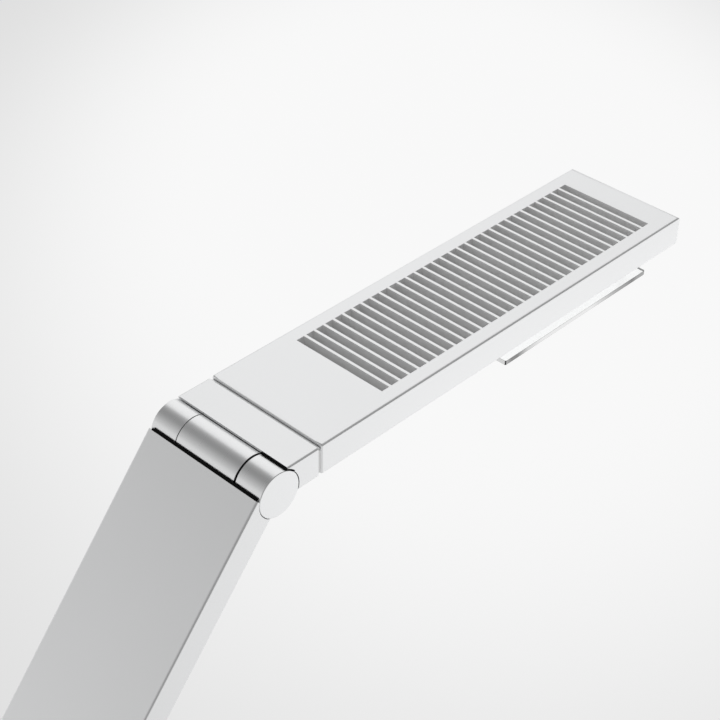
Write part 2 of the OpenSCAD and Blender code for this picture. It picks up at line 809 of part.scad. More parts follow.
// Block between the barrel and the head
module neck_block() color([0.87, 0.88, 0.88])
  in_head() difference() {
    bar(0, neck_front, lamp_w, head_rise - head_t, head_rise - neck_step, edge_r);
    along_y(socket_r, -half_w - past, half_w + past);
    block([-past, -half_w - past, 0], [neck_trim, half_w + past, head_rise]);
    seal_arc(socket_r + seal_depth, -half_w - past, -knuckle_near - near_seam, seal_low, 0);
    for (s = [-1, 1])
      block([0, s*cup_tongue_y - cup_tongue_w/2 - fit_gap, tongue_low - fit_gap],
            [neck_tongue_l + fit_gap, s*cup_tongue_y + cup_tongue_w/2 + fit_gap, tongue_high + fit_gap]);
    translate([neck_front - roll_depth - fit_gap, 0, roll_z]) rotate([0, 90, 0])
      cylinder(r = roll_r + fit_gap, h = roll_depth + past);
    translate([0, 0, roll_z]) rotate([0, 90, 0]) cylinder(r = roll_hole_r, h = neck_front);
    neck_fixings() screw_hole(screw_r, screw_head_r, head_t - head_rise + past);
  }

// Places of the screws from the neck's underside into the cup tongues
module neck_fixings() {
  for (s = [-1, 1]) translate([neck_screw_x, s*cup_tongue_y, head_rise - head_t]) children();
}

module neck_screws() color([0.6, 0.6, 0.62])
  in_head() neck_fixings() screw(screw_r, screw_head_r, head_t - head_rise + tongue_high - blind_t);

// Thin plate on the neck's end face that the head turns against
module thrust_plate() color([0.84, 0.84, 0.85])
  in_head() difference() {
    bar(neck_front + eps, neck_front + roll_seam - plate_gap, lamp_w - 2*plate_inset,
        head_rise - head_t + plate_step, head_rise - neck_step - plate_step, edge_r);
    translate([neck_front - past, 0, roll_z]) rotate([0, 90, 0])
      cylinder(r = roll_r + fit_gap, h = roll_seam + 2*past);
  }

// Hollow shaft fixed in the neck; the head rolls on it
module roll_shaft() color([0.6, 0.6, 0.62])
  in_roll() difference() {
    translate([0, 0, neck_front - roll_depth])
      cylinder(r = roll_r, h = roll_depth + roll_seam + end_wall + flange_t + roll_nut_t + shaft_past);
    translate([0, 0, neck_front - roll_depth - past])
      cylinder(r = roll_hole_r, h = head_back + end_wall + 3*roll_nut_t);
  }

module roll_nut() color([0.6, 0.6, 0.62])
  in_roll() translate([0, 0, head_back + end_wall + flange_t + fit_gap]) difference() {
    cylinder(r = roll_r + roll_nut_rim, h = roll_nut_t, $fn = 6);
    translate([0, 0, -past]) cylinder(r = roll_r + fit_gap, h = roll_nut_t + 2*past);
  }

// ---------- head ----------

// Frame of the head: origin on its joint face, level with its top
module in_head_top() { in_head() translate([head_back, 0, head_rise]) children(); }

// Slotted housing, open below; its tip is rounded all round, and its joint face at the sides
module head_housing() color([0.89, 0.9, 0.9])
  in_head_top() difference() {
    intersection() {
      bar(0, head_l, lamp_w, -head_t, 0, edge_r);
      translate([0, 0, -head_t - past]) linear_extrude(head_t + 2*past) union() {
        translate([head_l/2, 0]) rounded(head_l, lamp_w, tip_corner_r);
        translate([2*tip_corner_r, 0]) rounded(4*tip_corner_r, lamp_w, edge_r);
      }
      rotate([0, 0, 90]) translate([0, 2*edge_r - head_l/2, 0])
        bar(-half_w - past, half_w + past, head_l + 4*edge_r, -head_t, 0, edge_r);
      rotate([0, 0, 90]) translate([0, 2*tip_r - head_l/2, 0])
        bar(-half_w - past, half_w + past, head_l + 4*tip_r, -head_t - 2*tip_r, 0, tip_r);
    }
    // space under the fins, and the wiring space behind them
    block([end_wall, -inside_w/2, -head_t - past], [head_l - head_wall, inside_w/2, -fin_depth]);
    block([end_wall, -inside_w/2, -head_t - past], [fins_from, inside_w/2, -head_roof]);
    // rebate for the underside cover
    block([end_wall - ledge_w, -inside_w/2 - ledge_w, -head_t - past],
          [head_l - head_wall + ledge_w, inside_w/2 + ledge_w, -head_t + under_t + fit_gap]);
    under_fixings() cylinder(r = screw_r + fit_gap, h = head_t - fin_depth + screw_bite + fit_gap);
    for (i = [0 : slot_n - 1])
      block([slot_start + i*slot_pitch - slot_w/2, -slot_l/2, -head_t],
            [slot_start + i*slot_pitch + slot_w/2, slot_l/2, past]);
    translate([-past, 0, -head_t/2]) rotate([0, 90, 0])
      cylinder(r = roll_bush_r + fit_gap, h = end_wall + 2*past);
  }

// Flanged bush in the head's end wall
module roll_bush() color([0.2, 0.2, 0.21])
  in_roll() translate([0, 0, head_back]) difference() {
    union() {
      cylinder(r = roll_bush_r, h = end_wall + fit_gap);
      translate([0, 0, end_wall + fit_gap])
        cylinder(r = roll_r + 2*roll_wall, h = flange_t - 2*fit_gap);
    }
    translate([0, 0, -past]) cylinder(r = roll_r + run_gap, h = end_wall + flange_t + 2*past);
  }

// Plate that closes the fins below and carries the board
module heat_spreader() color([0.7, 0.71, 0.73])
  in_head_top() difference() {
    block([fins_from + 1, -inside_w/2 + 1, -spreader_top - spreader_t],
          [fins_to - 1, inside_w/2 - 1, -spreader_top]);
    under_fixings() cylinder(r = screw_r + fit_gap, h = head_t);
  }

module led_board() color([0.92, 0.92, 0.9])
  in_head_top()
    block([window_mid - window_l/2, -window_w/2, -board_top - led_board_t + fit_gap],
          [window_mid + window_l/2, window_w/2, -board_top - fit_gap]);

// Light emitters in rows on the board
module led_chips() color([0.95, 0.85, 0.4])
  in_head_top() for (i = [0 : led_cols - 1], j = [0 : led_rows - 1])
    translate([window_mid + (i - (led_cols - 1)/2)*led_pitch_x,
               (j - (led_rows - 1)/2)*led_pitch_y, -led_top - led_t])
      translate([-led_w/2, -led_w/2, 0]) cube([led_w, led_w, led_t]);

// Opal panel with a lip above the underside cover
module diffuser_panel() color([0.96, 0.96, 0.94])
  in_head_top() {
    z0 = -head_t + under_t + fit_gap;
    block([window_mid - window_l/2 + fit_gap, -window_w/2 + fit_gap, -head_t + window_step],
          [window_mid + window_l/2 - fit_gap, window_w/2 - fit_gap, z0 + eps]);
    block([window_mid - window_l/2 - lip_w, -window_w/2 - lip_w, z0],
          [window_mid + window_l/2 + lip_w, window_w/2 + lip_w, z0 + diffuser_lip]);
  }

// Cover let into the housing's rebate, with the light window
module underside_cover() color([0.87, 0.88, 0.88])
  in_head_top() difference() {
    block([end_wall - ledge_w + 2*fit_gap, -inside_w/2 - ledge_w + 2*fit_gap, -head_t],
          [head_l - head_wall + ledge_w - 2*fit_gap, inside_w/2 + ledge_w - 2*fit_gap, -head_t + under_t]);
    block([window_mid - window_l/2, -window_w/2, -head_t - past],
          [window_mid + window_l/2, window_w/2, -head_t + under_t + past]);
    under_fixings() screw_hole(screw_r, screw_head_r, under_t + past);
    screen_fixings() translate([0, 0, -past]) cylinder(r = screw_r + fit_gap, h = under_t + 2*past);
  }

// Places of the screws through the underside cover and the spreader into the housing
module under_fixings() {
  for (x = [fins_from + 8, fins_to - 8], s = [-1, 1])
    translate([x, s*(slot_l/2 + inside_w/2)/2, -head_t]) children();
}

module head_screws() color([0.6, 0.6, 0.62])
  in_head_top() under_fixings() screw(screw_r, screw_head_r, head_t - fin_depth + screw_bite);

// Places of the stand-offs of the clear screen, at the head's underside
module screen_fixings() {
  for (x = [screen_start + screen_post_inset, screen_start + screen_l - screen_post_inset], s = [-1, 1])
    translate([x, s*(screen_w/2 - post_inset), -head_t]) children();
}

module clear_screen() color([0.85, 0.92, 0.95, 0.4])
  in_head_top() difference() {
    block([screen_start, -screen_w/2, -head_t - screen_gap - screen_t],
          [screen_start + screen_l, screen_w/2, -head_t - screen_gap]);
    screen_fixings() translate([0, 0, -screen_gap - screen_t - past])
      cylinder(r = screw_r + fit_gap, h = screen_t + 2*past);
  }

// Stand-offs: a post above the screen, a stem through it and a flat head below
module screen_posts() color([0.75, 0.76, 0.78])
  in_head_top() screen_fixings() {
    translate([0, 0, -screen_gap + fit_gap]) cylinder(r = post_r, h = screen_gap - 2*fit_gap);
    translate([0, 0, -screen_gap - screen_t - fit_gap])
      cylinder(r = screw_r, h = screen_gap + screen_t + under_t + stem_past);
    translate([0, 0, -screen_gap - screen_t - post_head_t - fit_gap])
      cylinder(r = post_r, h = post_head_t);
  }

// ---------- the hinges and arms in place ----------

steel = [0.6, 0.6, 0.62];
satin = [0.8, 0.81, 0.82];
black = [0.12, 0.12, 0.13];
bronze = [0.7, 0.55, 0.3];

module lower_arm_profile() color([0.87, 0.88, 0.88]) in_lower_arm() arm_profile();
module lower_arm_plugs() color(black) in_lower_arm() arm_plugs();
module lower_arm_screws() color(steel) in_lower_arm() arm_screws();
module lower_arm_lead() color(black) in_lower_arm() arm_lead();
module upper_arm_profile() color([0.87, 0.88, 0.88]) in_upper_arm() arm_profile();
module upper_arm_plugs() color(black) in_upper_arm() arm_plugs();
module upper_arm_screws() color(steel) in_upper_arm() arm_screws();
module upper_arm_lead() color(black) in_upper_arm() arm_lead();

// A tongue with the holes for its screws
module arm_cups() {
  difference() {
    cups(tongue_l);
    for (s = [-1, 1]) translate([screw_at, s*cup_tongue_y, -arm_inner])
      cylinder(r = screw_r + fit_gap, h = arm_inner + tongue_high - blind_t + fit_gap);
  }
}
module arm_knuckle() {
  difference() {
    knuckle(tongue_low, tongue_high, tongue_l);
    for (s = [-1, 1]) translate([screw_at, s*knuckle_screw_y, -arm_inner])
      cylinder(r = screw_r + fit_gap, h = arm_inner + tongue_high - blind_t + fit_gap);
  }
}

module base_bushes() color(black) translate(base_axis) bushes();
module base_discs() color(bronze) translate(base_axis) friction_discs();
module base_cups() color(satin) in_lower_arm() arm_cups();
module base_pin() color(steel) translate(base_axis) pin();
module base_springs() color(steel) translate(base_axis) cone_springs();
module base_nuts() color(steel) in_lower_arm() pin_nuts();
module base_shims() color(black) translate(base_axis) shims();

module elbow_knuckle() color(satin) in_lower_arm() at_arm_top() arm_knuckle();
module elbow_bushes() color(black) translate(elbow_axis) bushes();
module elbow_discs() color(bronze) translate(elbow_axis) friction_discs();
module elbow_cups() color(satin) in_upper_arm() arm_cups();
module elbow_pin() color(steel) translate(elbow_axis) pin();
module elbow_springs() color(steel) translate(elbow_axis) cone_springs();
module elbow_nuts() color(steel) in_upper_arm() pin_nuts();
module elbow_shims() color(black) translate(elbow_axis) shims();

module head_knuckle() color(satin) in_upper_arm() at_arm_top() arm_knuckle();
module head_bushes() color(black) in_head() bushes();
module head_discs() color(bronze) in_head() friction_discs();
module head_cups() color(satin) in_head() difference() {
  cups(neck_tongue_l);
  for (s = [-1, 1]) translate([neck_screw_x, s*cup_tongue_y, -arm_inner])
    cylinder(r = screw_r + fit_gap, h = arm_inner + tongue_high - blind_t + fit_gap);
}
module head_pin() color(steel) in_head() pin();
module head_springs() color(steel) in_head() cone_springs();
module head_nuts() color(steel) in_head() pin_nuts();
// The top hinge's shims, and the black seal in two strips: a thick one in the recess, and a thin one
module head_shims() color(black) in_head() {
  shims();
  difference() {
    seal_arc(socket_r + seal_depth - fit_gap, -half_w, -knuckle_near - near_seam - fit_gap,
             seal_low + fit_gap, seal_back);
    along_y(barrel_r + fit_gap, -half_w - past, half_w);
  }
  difference() {
    seal_arc(socket_r - fit_gap, -knuckle_near - near_seam + fit_gap, half_w - seal_inset,
             seal_low + fit_gap, neck_trim);
    along_y(barrel_r + fit_gap, -half_w - past, half_w);
  }
}

foot_pad();
base_plate();
base_cover();
base_screws();
control_board();
rocker_cradle();
power_inlet();
swivel_bush();
turntable();
swivel_nut();
base_knuckle();
pedestal_screws();
base_bushes();
base_discs();
lower_arm_profile();
lower_arm_plugs();
lower_arm_screws();
lower_arm_lead();
base_cups();
base_pin();
base_springs();
base_nuts();
base_shims();
elbow_knuckle();
elbow_bushes();
elbow_discs();
upper_arm_profile();
upper_arm_plugs();
upper_arm_screws();
upper_arm_lead();
elbow_cups();
elbow_pin();
elbow_springs();
elbow_nuts();
elbow_shims();
head_knuckle();
head_bushes();
head_discs();
neck_block();
neck_screws();
head_cups();
head_pin();
head_springs();
head_nuts();
head_shims();
thrust_plate();
roll_shaft();
roll_nut();
head_housing();
roll_bush();
heat_spreader();
led_board();
led_chips();
diffuser_panel();
underside_cover();
head_screws();
clear_screen();
screen_posts();
power_button();
dimmer_rocker();
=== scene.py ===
# A folding desk lamp: a weighted base with two keys and a turntable, two flat arms on barrel
# hinges, a neck, and a slotted head with a clear plate under its light window.
import json
import math

import bmesh
import bpy
from mathutils import Matrix, Vector


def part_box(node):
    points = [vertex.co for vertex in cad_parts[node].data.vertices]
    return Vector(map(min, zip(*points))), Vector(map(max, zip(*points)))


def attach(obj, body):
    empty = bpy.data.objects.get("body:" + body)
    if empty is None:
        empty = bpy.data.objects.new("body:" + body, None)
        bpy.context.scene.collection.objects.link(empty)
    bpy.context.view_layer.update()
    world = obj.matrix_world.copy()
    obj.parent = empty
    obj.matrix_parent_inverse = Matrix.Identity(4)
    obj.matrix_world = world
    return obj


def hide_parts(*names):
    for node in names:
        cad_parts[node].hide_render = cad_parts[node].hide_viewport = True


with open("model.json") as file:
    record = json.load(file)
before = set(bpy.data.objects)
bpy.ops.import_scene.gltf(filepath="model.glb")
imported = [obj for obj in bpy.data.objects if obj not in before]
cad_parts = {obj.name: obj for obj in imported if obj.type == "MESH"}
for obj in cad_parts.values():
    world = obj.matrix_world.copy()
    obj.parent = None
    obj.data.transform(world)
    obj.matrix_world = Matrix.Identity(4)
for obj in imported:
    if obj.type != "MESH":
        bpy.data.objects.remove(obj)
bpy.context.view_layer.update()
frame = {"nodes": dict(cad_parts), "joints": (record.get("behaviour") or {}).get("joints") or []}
mm = 0.001

# ---------------------------------------------------------------------------------------------
# Camera: a long lens above and behind the lamp's shoulder, looking down along the head.
camera_at = (-0.368647, -0.498205, 1.272733)
camera_turn = (53.21414, -0.73370, -45.89916)
camera_lens = 85.805
camera = bpy.data.objects.new("camera", bpy.data.cameras.new("camera"))
camera.location = camera_at
camera.rotation_euler = [math.radians(angle) for angle in camera_turn]
camera.data.lens = camera_lens
camera.data.sensor_width = 36
bpy.context.scene.collection.objects.link(camera)
bpy.context.scene.camera = camera
bpy.context.scene.view_settings.view_transform = "Standard"


# ---------------------------------------------------------------------------------------------
# Floor: a pale sheet that the lamp stands on. Seen directly or through the clear plate it glows
# near white, a painted pool of light that fades a little with distance, and keeps part of its
# shadow. Metal mirrors a painted glow on it that fades away from a middle, and further towards
# the near side.
class Shade:
    """A value in a shader: arithmetic on it adds Math nodes, and node() adds any other node."""

    def __init__(self, tree, socket=None):
        self.tree = tree
        self.socket = socket

    def node(self, kind, settings, sockets, output=0):
        """Adds a node: its settings are set first, then each named or numbered socket."""
        made = self.tree.nodes.new("ShaderNode" + kind)
        for name, value in settings.items():
            if name == "stops":
                ramp = made.color_ramp.elements
                for stop in range(len(value) - len(ramp)):
                    ramp.new(0.5)
                for stop, (place, level) in zip(ramp, value):
                    stop.position = place
                    stop.color = (level, level, level, 1)
            else:
                setattr(made, name, value)
        for name, value in sockets.items():
            if isinstance(value, Shade):
                self.tree.links.new(value.socket, made.inputs[name])
            else:
                made.inputs[name].default_value = value
        return Shade(self.tree, made.outputs[output])

    def maths(self, operation, first, second):
        return self.node("Math", {"operation": operation}, {0: first, 1: second})

    def __add__(self, other):
        return self.maths("ADD", self, other)

    def __radd__(self, other):
        return self.maths("ADD", other, self)

    def __sub__(self, other):
        return self.maths("SUBTRACT", self, other)

    def __rsub__(self, other):
        return self.maths("SUBTRACT", other, self)

    def __mul__(self, other):
        return self.maths("MULTIPLY", self, other)

    def __rmul__(self, other):
        return self.maths("MULTIPLY", other, self)

    def either(self, other):
        return self.maths("MAXIMUM", self, other)

    def position(self):
        """Where the shaded point is, in the object's own coordinates."""
        return self.node("TexCoord", {}, {}, "Object")

    def part(self, axis):
        """One coordinate of the shaded point."""
        return self.node("SeparateXYZ", {}, {0: self.position()}, axis)

    def above(self, level):
        return self.maths("GREATER_THAN", self, level)

    def below(self, level):
        return self.maths("LESS_THAN", self, level)

    def feeds(self, socket):
        self.tree.links.new(self.socket, socket)


def light_paths(shade):
    """Two masks: what is seen, also through clear plastic, and what is mirrored in metal."""
    seen = shade.node("LightPath", {}, {}, "Is Camera Ray")
    through = shade.node("LightPath", {}, {}, "Is Transmission Ray")
    return seen.either(through), shade.node("LightPath", {}, {}, "Is Glossy Ray")


floor_size = 24
floor_grey = (0.85, 0.85, 0.85, 1)
painted_pool_place = {"Location": (1.25, 0.85, 0), "Rotation": (0, 0, math.radians(46)), "Scale": (1.55, 1, 1)}
painted_pool_levels = {"From Min": 0.31, "From Max": 0.97, "To Min": 1.0, "To Max": 0.768}
painted_pool_share = 0.9
glow_middle = (1.3, -0.6, 0)
glow_levels = {"From Min": 0.5, "From Max": 1.1, "To Min": 1.08, "To Max": 0.8}
near_levels = {"From Min": -1.0, "From Max": -2.6, "To Min": 1.0, "To Max": 0.35}
bpy.ops.object.select_all(action="DESELECT")
bpy.ops.mesh.primitive_plane_add(size=floor_size)
floor = bpy.context.active_object
floor.name = "floor"

floor_paint = bpy.data.materials.new("floor_paint")
floor_paint.use_nodes = True
floor_paint.node_tree.nodes.clear()
shade = Shade(floor_paint.node_tree)
spot = shade.node("Mapping", {"vector_type": "TEXTURE"}, {"Vector": shade.position(), **painted_pool_place})
away = shade.node("VectorMath", {"operation": "LENGTH"}, {0: spot}, "Value")
painted_light_pool = shade.node("MapRange", {"interpolation_type": "SMOOTHERSTEP"}, {"Value": away, **painted_pool_levels})
spots = {0: shade.position(), 1: glow_middle}
off_middle = shade.node("VectorMath", {"operation": "DISTANCE"}, spots, "Value")
glow = shade.node("MapRange", {}, {"Value": off_middle, **glow_levels})
glow = glow * shade.node("MapRange", {}, {"Value": shade.part("Y"), **near_levels})
seen, mirrored = light_paths(shade)
lit = shade.node("BsdfDiffuse", {}, {"Color": floor_grey})
# Painted light: the floor emits a pool for camera rays and a glow for mirror rays.
painted_glow = shade.node("Emission", {}, {"Color": (painted_light_pool * seen).either(glow * mirrored), "Strength": 1.0})
surface = shade.node("MixShader", {}, {0: (seen * painted_pool_share).either(mirrored), 1: lit, 2: painted_glow})
surface.feeds(shade.tree.nodes.new("ShaderNodeOutputMaterial").inputs["Surface"])
floor.data.materials.append(floor_paint)

# ---------------------------------------------------------------------------------------------
# Studio light: a grey room that is darkest overhead, brighter towards the lamp's back and dim
# on its near side, and one wide soft panel ahead, whose upper edge draws a crisp line along
# round metal. Room levels run from straight ahead, over the top, to the back.
horizon_level = 0.79
room_stops = [
    (0.0, 0.62),
    (0.42, 0.50),
    (0.47, 0.36),
    (0.56, 0.27),
    (0.64, 0.27),
    (0.72, 0.36),
    (0.83, 0.54),
    (0.875, 0.585),
    (0.92, 0.74),
    (1.0, 0.82),
]
far_side_levels = {"From Min": 0.43, "From Max": 0.68, "To Min": 0.88, "To Max": 1.1}
near_wall_level = 0.33
near_wall_reach = {"From Min": -0.1, "From Max": -0.45}
world = bpy.data.worlds.new("studio")
bpy.context.scene.world = world
world.use_nodes = True
world.node_tree.nodes.clear()
shade = Shade(world.node_tree)
towards = shade.node("TexCoord", {}, {}, "Generated")
east, north, above = (shade.node("SeparateXYZ", {}, {"Vector": towards}, axis) for axis in "XYZ")
turn = shade.maths("ARCTAN2", above, east)
room_level = shade.node("ValToRGB", {"stops": room_stops}, {"Fac": turn * (1 / math.pi)}, "Color")
room_level = room_level * shade.node("MapRange", {}, {"Value": north, **far_side_levels})
to_wall = {"Value": north, **near_wall_reach}
near_wall = shade.node("MapRange", {"interpolation_type": "SMOOTHSTEP"}, to_wall)
room_level = room_level * (1 - near_wall) + near_wall * near_wall_level
seen, mirrored = light_paths(shade)
level = room_level * (1 - seen) + seen * horizon_level
room = shade.node("Background", {}, {"Color": (1, 1, 1, 1), "Strength": level})
room.feeds(shade.tree.nodes.new("ShaderNodeOutputWorld").inputs["Surface"])

panel_slope = math.radians(48)
panel_reach = 2.2
panel_w = 2.34
panel_l = 2.6
panel_y = 1.2
panel_watts = 8.05
barrel_z = 0.72
panel = bpy.data.objects.new("soft_panel", bpy.data.lights.new("soft_panel", "AREA"))
panel.data.shape = "RECTANGLE"
panel.data.size = panel_w
panel.data.size_y = panel_l
panel.data.energy = panel_watts
panel_x = panel_reach * math.cos(panel_slope)
panel.location = (panel_x, panel_y, barrel_z + panel_reach * math.sin(panel_slope))
panel.rotation_euler = (0, math.pi / 2 - panel_slope, 0)
panel.visible_camera = False
panel.visible_transmission = False
bpy.context.scene.collection.objects.link(panel)


# ---------------------------------------------------------------------------------------------
# Foot pad: black rubber under the whole base, with a moulded rim and a grip groove below.
# It is glued to the ballast plate.
def alone(piece):
    """Selects this piece and nothing else."""
    bpy.ops.object.select_all(action="DESELECT")
    piece.select_set(True)
    bpy.context.view_layer.objects.active = piece


def settle(piece, place=None):
    """Moves the piece, and puts its place in its mesh, so that its object is at the origin."""
    alone(piece)
    if place is not None:
        piece.matrix_world = place @ piece.matrix_world
    bpy.ops.object.transform_apply(location=True, rotation=True, scale=True)
    return piece


def block(name, low, high):
    """A cuboid between two corners, in millimetres."""
    low, high = Vector(low) * mm, Vector(high) * mm
    bpy.ops.object.select_all(action="DESELECT")
    bpy.ops.mesh.primitive_cube_add(size=1, location=(low + high) / 2)
    piece = bpy.context.active_object
    piece.name = name
    piece.scale = high - low
    return settle(piece)


def near(value, goal, slack=0.01):
    return abs(value - goal) < slack


def along(axis):
    """A test for edges that run along an axis."""
    return lambda a, b: all(near(a[i], b[i]) for i in range(3) if i != axis)


def at(axis, *places):
    """A test for edges that lie across an axis at one of these places."""
    return lambda a, b: any(near(a[axis], place) and near(b[axis], place) for place in places)


def round_edges(piece, radius, segments, chosen):
    """Rounds the sharp edges whose two ends, in millimetres, chosen() accepts."""
    alone(piece)
    bpy.ops.object.mode_set(mode="EDIT")
    bpy.ops.mesh.select_mode(type="EDGE")
    bpy.ops.mesh.select_all(action="DESELECT")
    mesh = bmesh.from_edit_mesh(piece.data)
    for edge in mesh.edges:
        sharp = edge.calc_face_angle(0) > math.radians(20)
        edge.select_set(sharp and chosen(edge.verts[0].co / mm, edge.verts[1].co / mm))
    bmesh.update_edit_mesh(piece.data)
    bpy.ops.mesh.bevel(offset=radius * mm, segments=segments, affect="EDGES")
    bpy.ops.object.mode_set(mode="OBJECT")


def edit_faces(piece, chosen):
    """Enters edit mode with the faces selected whose middle, in millimetres, and normal fit."""
    alone(piece)
    bpy.ops.object.mode_set(mode="EDIT")
    bpy.ops.mesh.select_mode(type="FACE")
    bpy.ops.mesh.select_all(action="DESELECT")
    mesh = bmesh.from_edit_mesh(piece.data)
    for face in mesh.faces:
        face.select_set(chosen(face.calc_center_median() / mm, face.normal))
    bmesh.update_edit_mesh(piece.data)


def finished(piece, angle=40):
    """Smooth shading over rounded edges, with flat faces kept flat."""
    alone(piece)
    bpy.ops.object.shade_smooth_by_angle(angle=math.radians(angle))
    bpy.ops.object.modifier_add(type="WEIGHTED_NORMAL")
    piece.modifiers[-1].keep_sharp = True
    bpy.ops.object.modifier_apply(modifier=piece.modifiers[-1].name)
    return piece


def coat(paint, *nodes):
    """Gives solids of the frame a paint."""
    for node in nodes:
        for place in frame["nodes"][node].material_slots:
            place.material = paint


def fit(piece, paint, body, slot, *nodes):
    """Paints the piece, hangs it on its body and hides the solids that it stands for."""
    piece.data.materials.clear()
    piece.data.materials.append(paint)
    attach(piece, body)
    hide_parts(*nodes)
    coat(paint, *nodes)


def paint_of(name, **fixed):
    """A material: it, the start of its shader maths, and its sockets with the fixed ones set."""
    paint = bpy.data.materials.new(name)
    paint.use_nodes = True
    sockets = paint.node_tree.nodes["Principled BSDF"].inputs
    for socket, value in fixed.items():
        sockets[socket.replace("_", " ")].default_value = value
    return paint, Shade(paint.node_tree), sockets


def mixed(shade, mask, first, second):
    """The first colour where the mask is 0, and the second where it is 1."""
    return shade.node("Mix", {"data_type": "RGBA"}, {"Factor": mask, 6: first, 7: second}, 2)


def tint(shade, mask, dark, light):
    """A colour between two, by a mask from 0 to 1."""
    return mixed(shade, mask, (*dark, 1), (*light, 1))


def grain(shade, size, detail=2.0):
    """Even noise with grains of about that size, in millimetres."""
    sockets = {"Vector": shade.position(), "Scale": 1 / (size * mm), "Detail": detail}
    return shade.node("TexNoise", {}, sockets, "Fac")


def bump(shade, height, depth):
    """A normal from a height from 0 to 1, which stands for that depth in millimetres."""
    return shade.node("Bump", {}, {"Height": height, "Distance": depth * mm}, "Normal")


corner_r = 4
pad_rim_r = 0.4
groove_inset = 12
groove_w = 2
groove_deep = 0.5
low, high = (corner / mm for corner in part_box("foot_pad"))
pad = block("rubber_foot", low, high)
edit_faces(pad, lambda middle, normal: normal.z < -0.9)
bpy.ops.mesh.inset(thickness=groove_inset * mm)
bpy.ops.mesh.inset(thickness=groove_w * mm)
bpy.ops.object.mode_set(mode="OBJECT")


def in_groove(middle, normal):
    to_rim = min(high.x - abs(middle.x), high.y - abs(middle.y))
    return normal.z < -0.9 and near(to_rim, groove_inset + groove_w / 2, groove_w / 2)


edit_faces(pad, in_groove)
bpy.ops.mesh.extrude_region_move(TRANSFORM_OT_translate={"value": (0, 0, groove_deep * mm)})
bpy.ops.object.mode_set(mode="OBJECT")
round_edges(pad, corner_r, 6, lambda a, b: along(2)(a, b) and near(abs(a.x), high.x))
round_edges(pad, pad_rim_r, 2, lambda a, b: at(2, low.z)(a, b) and max(abs(a.x), abs(a.y)) > high.y - 1)

rubber, shade, sockets = paint_of("rubber", IOR=1.5)
pits = grain(shade, 0.4)
tint(shade, grain(shade, 16), (0.018, 0.018, 0.019), (0.034, 0.034, 0.036)).feeds(sockets["Base Color"])
(0.78 + pits * 0.12).feeds(sockets["Roughness"])
bump(shade, pits, 0.06).feeds(sockets["Normal"])
fit(finished(pad), rubber, "base", "rubber", "foot_pad")

# ---------------------------------------------------------------------------------------------
# Ballast plate: rolled steel, 11 mm thick, that keeps the lamp upright. Only its lower rim
# can be seen, between the pad and the cover. Four screws hold the cover on it.
ballast, shade, sockets = paint_of("ballast_steel", Metallic=1.0)
mill = grain(shade, 11, 4.0)
tint(shade, mill, (0.20, 0.20, 0.21), (0.32, 0.325, 0.33)).feeds(sockets["Base Color"])
(0.42 + mill * 0.2).feeds(sockets["Roughness"])
bump(shade, grain(shade, 0.7), 0.04).feeds(sockets["Normal"])

steel, shade, sockets = paint_of("zinc_steel", Metallic=1.0)
plating = grain(shade, 1.4)
tint(shade, plating, (0.56, 0.56, 0.57), (0.66, 0.66, 0.66)).feeds(sockets["Base Color"])
(0.26 + plating * 0.12).feeds(sockets["Roughness"])
bump(shade, grain(shade, 0.3), 0.01).feeds(sockets["Normal"])

coat(ballast, "base_plate")
coat(steel, "base_screws")

# ---------------------------------------------------------------------------------------------
# Base cover: a pressed aluminium shell over the ballast plate, bead blasted and anodised
# silver. It has openings for the two keys, the turntable's hub and the power socket.
edge_r = 1.2
rim_r = 0.25
rim_margin = 10
cover_wall = 2
hub_hole_r = 13.1
button_r = 8
rocker_w = 12
key_gap = 0.4
slot_corner_r = 0.6
mouth_w = 10.3
mouth_h = 4.5
mouth_r = mouth_h * 0.49
boss_r = 5
boss_foot = 12.5
boss_thread_r = 2.05
boss_spots = [(x, y) for x in (-99, 99) for y in (-84, 84)]
past = 1


def rod(name, radius, start, end, sides=96):
    """A cylinder between two points, in millimetres."""
    start, end = Vector(start) * mm, Vector(end) * mm
    run = end - start
    turn = run.to_track_quat("Z", "Y").to_euler()
    bpy.ops.object.select_all(action="DESELECT")
    bpy.ops.mesh.primitive_cylinder_add(
        vertices=sides, radius=radius * mm, depth=run.length, location=(start + end) / 2, rotation=turn
    )
    piece = bpy.context.active_object
    piece.name = name
    return settle(piece)


def combine(piece, tool, how):
    """Applies a Boolean modifier with the tool, and removes the tool."""
    alone(piece)
    bpy.ops.object.modifier_add(type="BOOLEAN")
    modifier = piece.modifiers[-1]
    modifier.operation = how
    modifier.object = tool
    modifier.solver = "EXACT"
    bpy.ops.object.modifier_apply(modifier=modifier.name)
    bpy.data.objects.remove(tool)


def cut(piece, *tools):
    for tool in tools:
        combine(piece, tool, "DIFFERENCE")
    return piece


def fuse(piece, *others):
    for other in others:
        combine(piece, other, "UNION")
    return piece


low, high = (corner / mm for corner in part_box("base_cover"))
roof = high.z - cover_wall
cover = block("cover_shell", low, high)
round_edges(cover, corner_r, 8, along(2))
round_edges(cover, edge_r, 4, at(2, high.z))
wall = Vector((cover_wall, cover_wall, 0))
foot = low + wall
foot.z = low.z - past
top = high - wall
top.z = roof
hollow = block("hollow", foot, top)
round_edges(hollow, corner_r - cover_wall / 2, 6, along(2))
cut(cover, hollow)

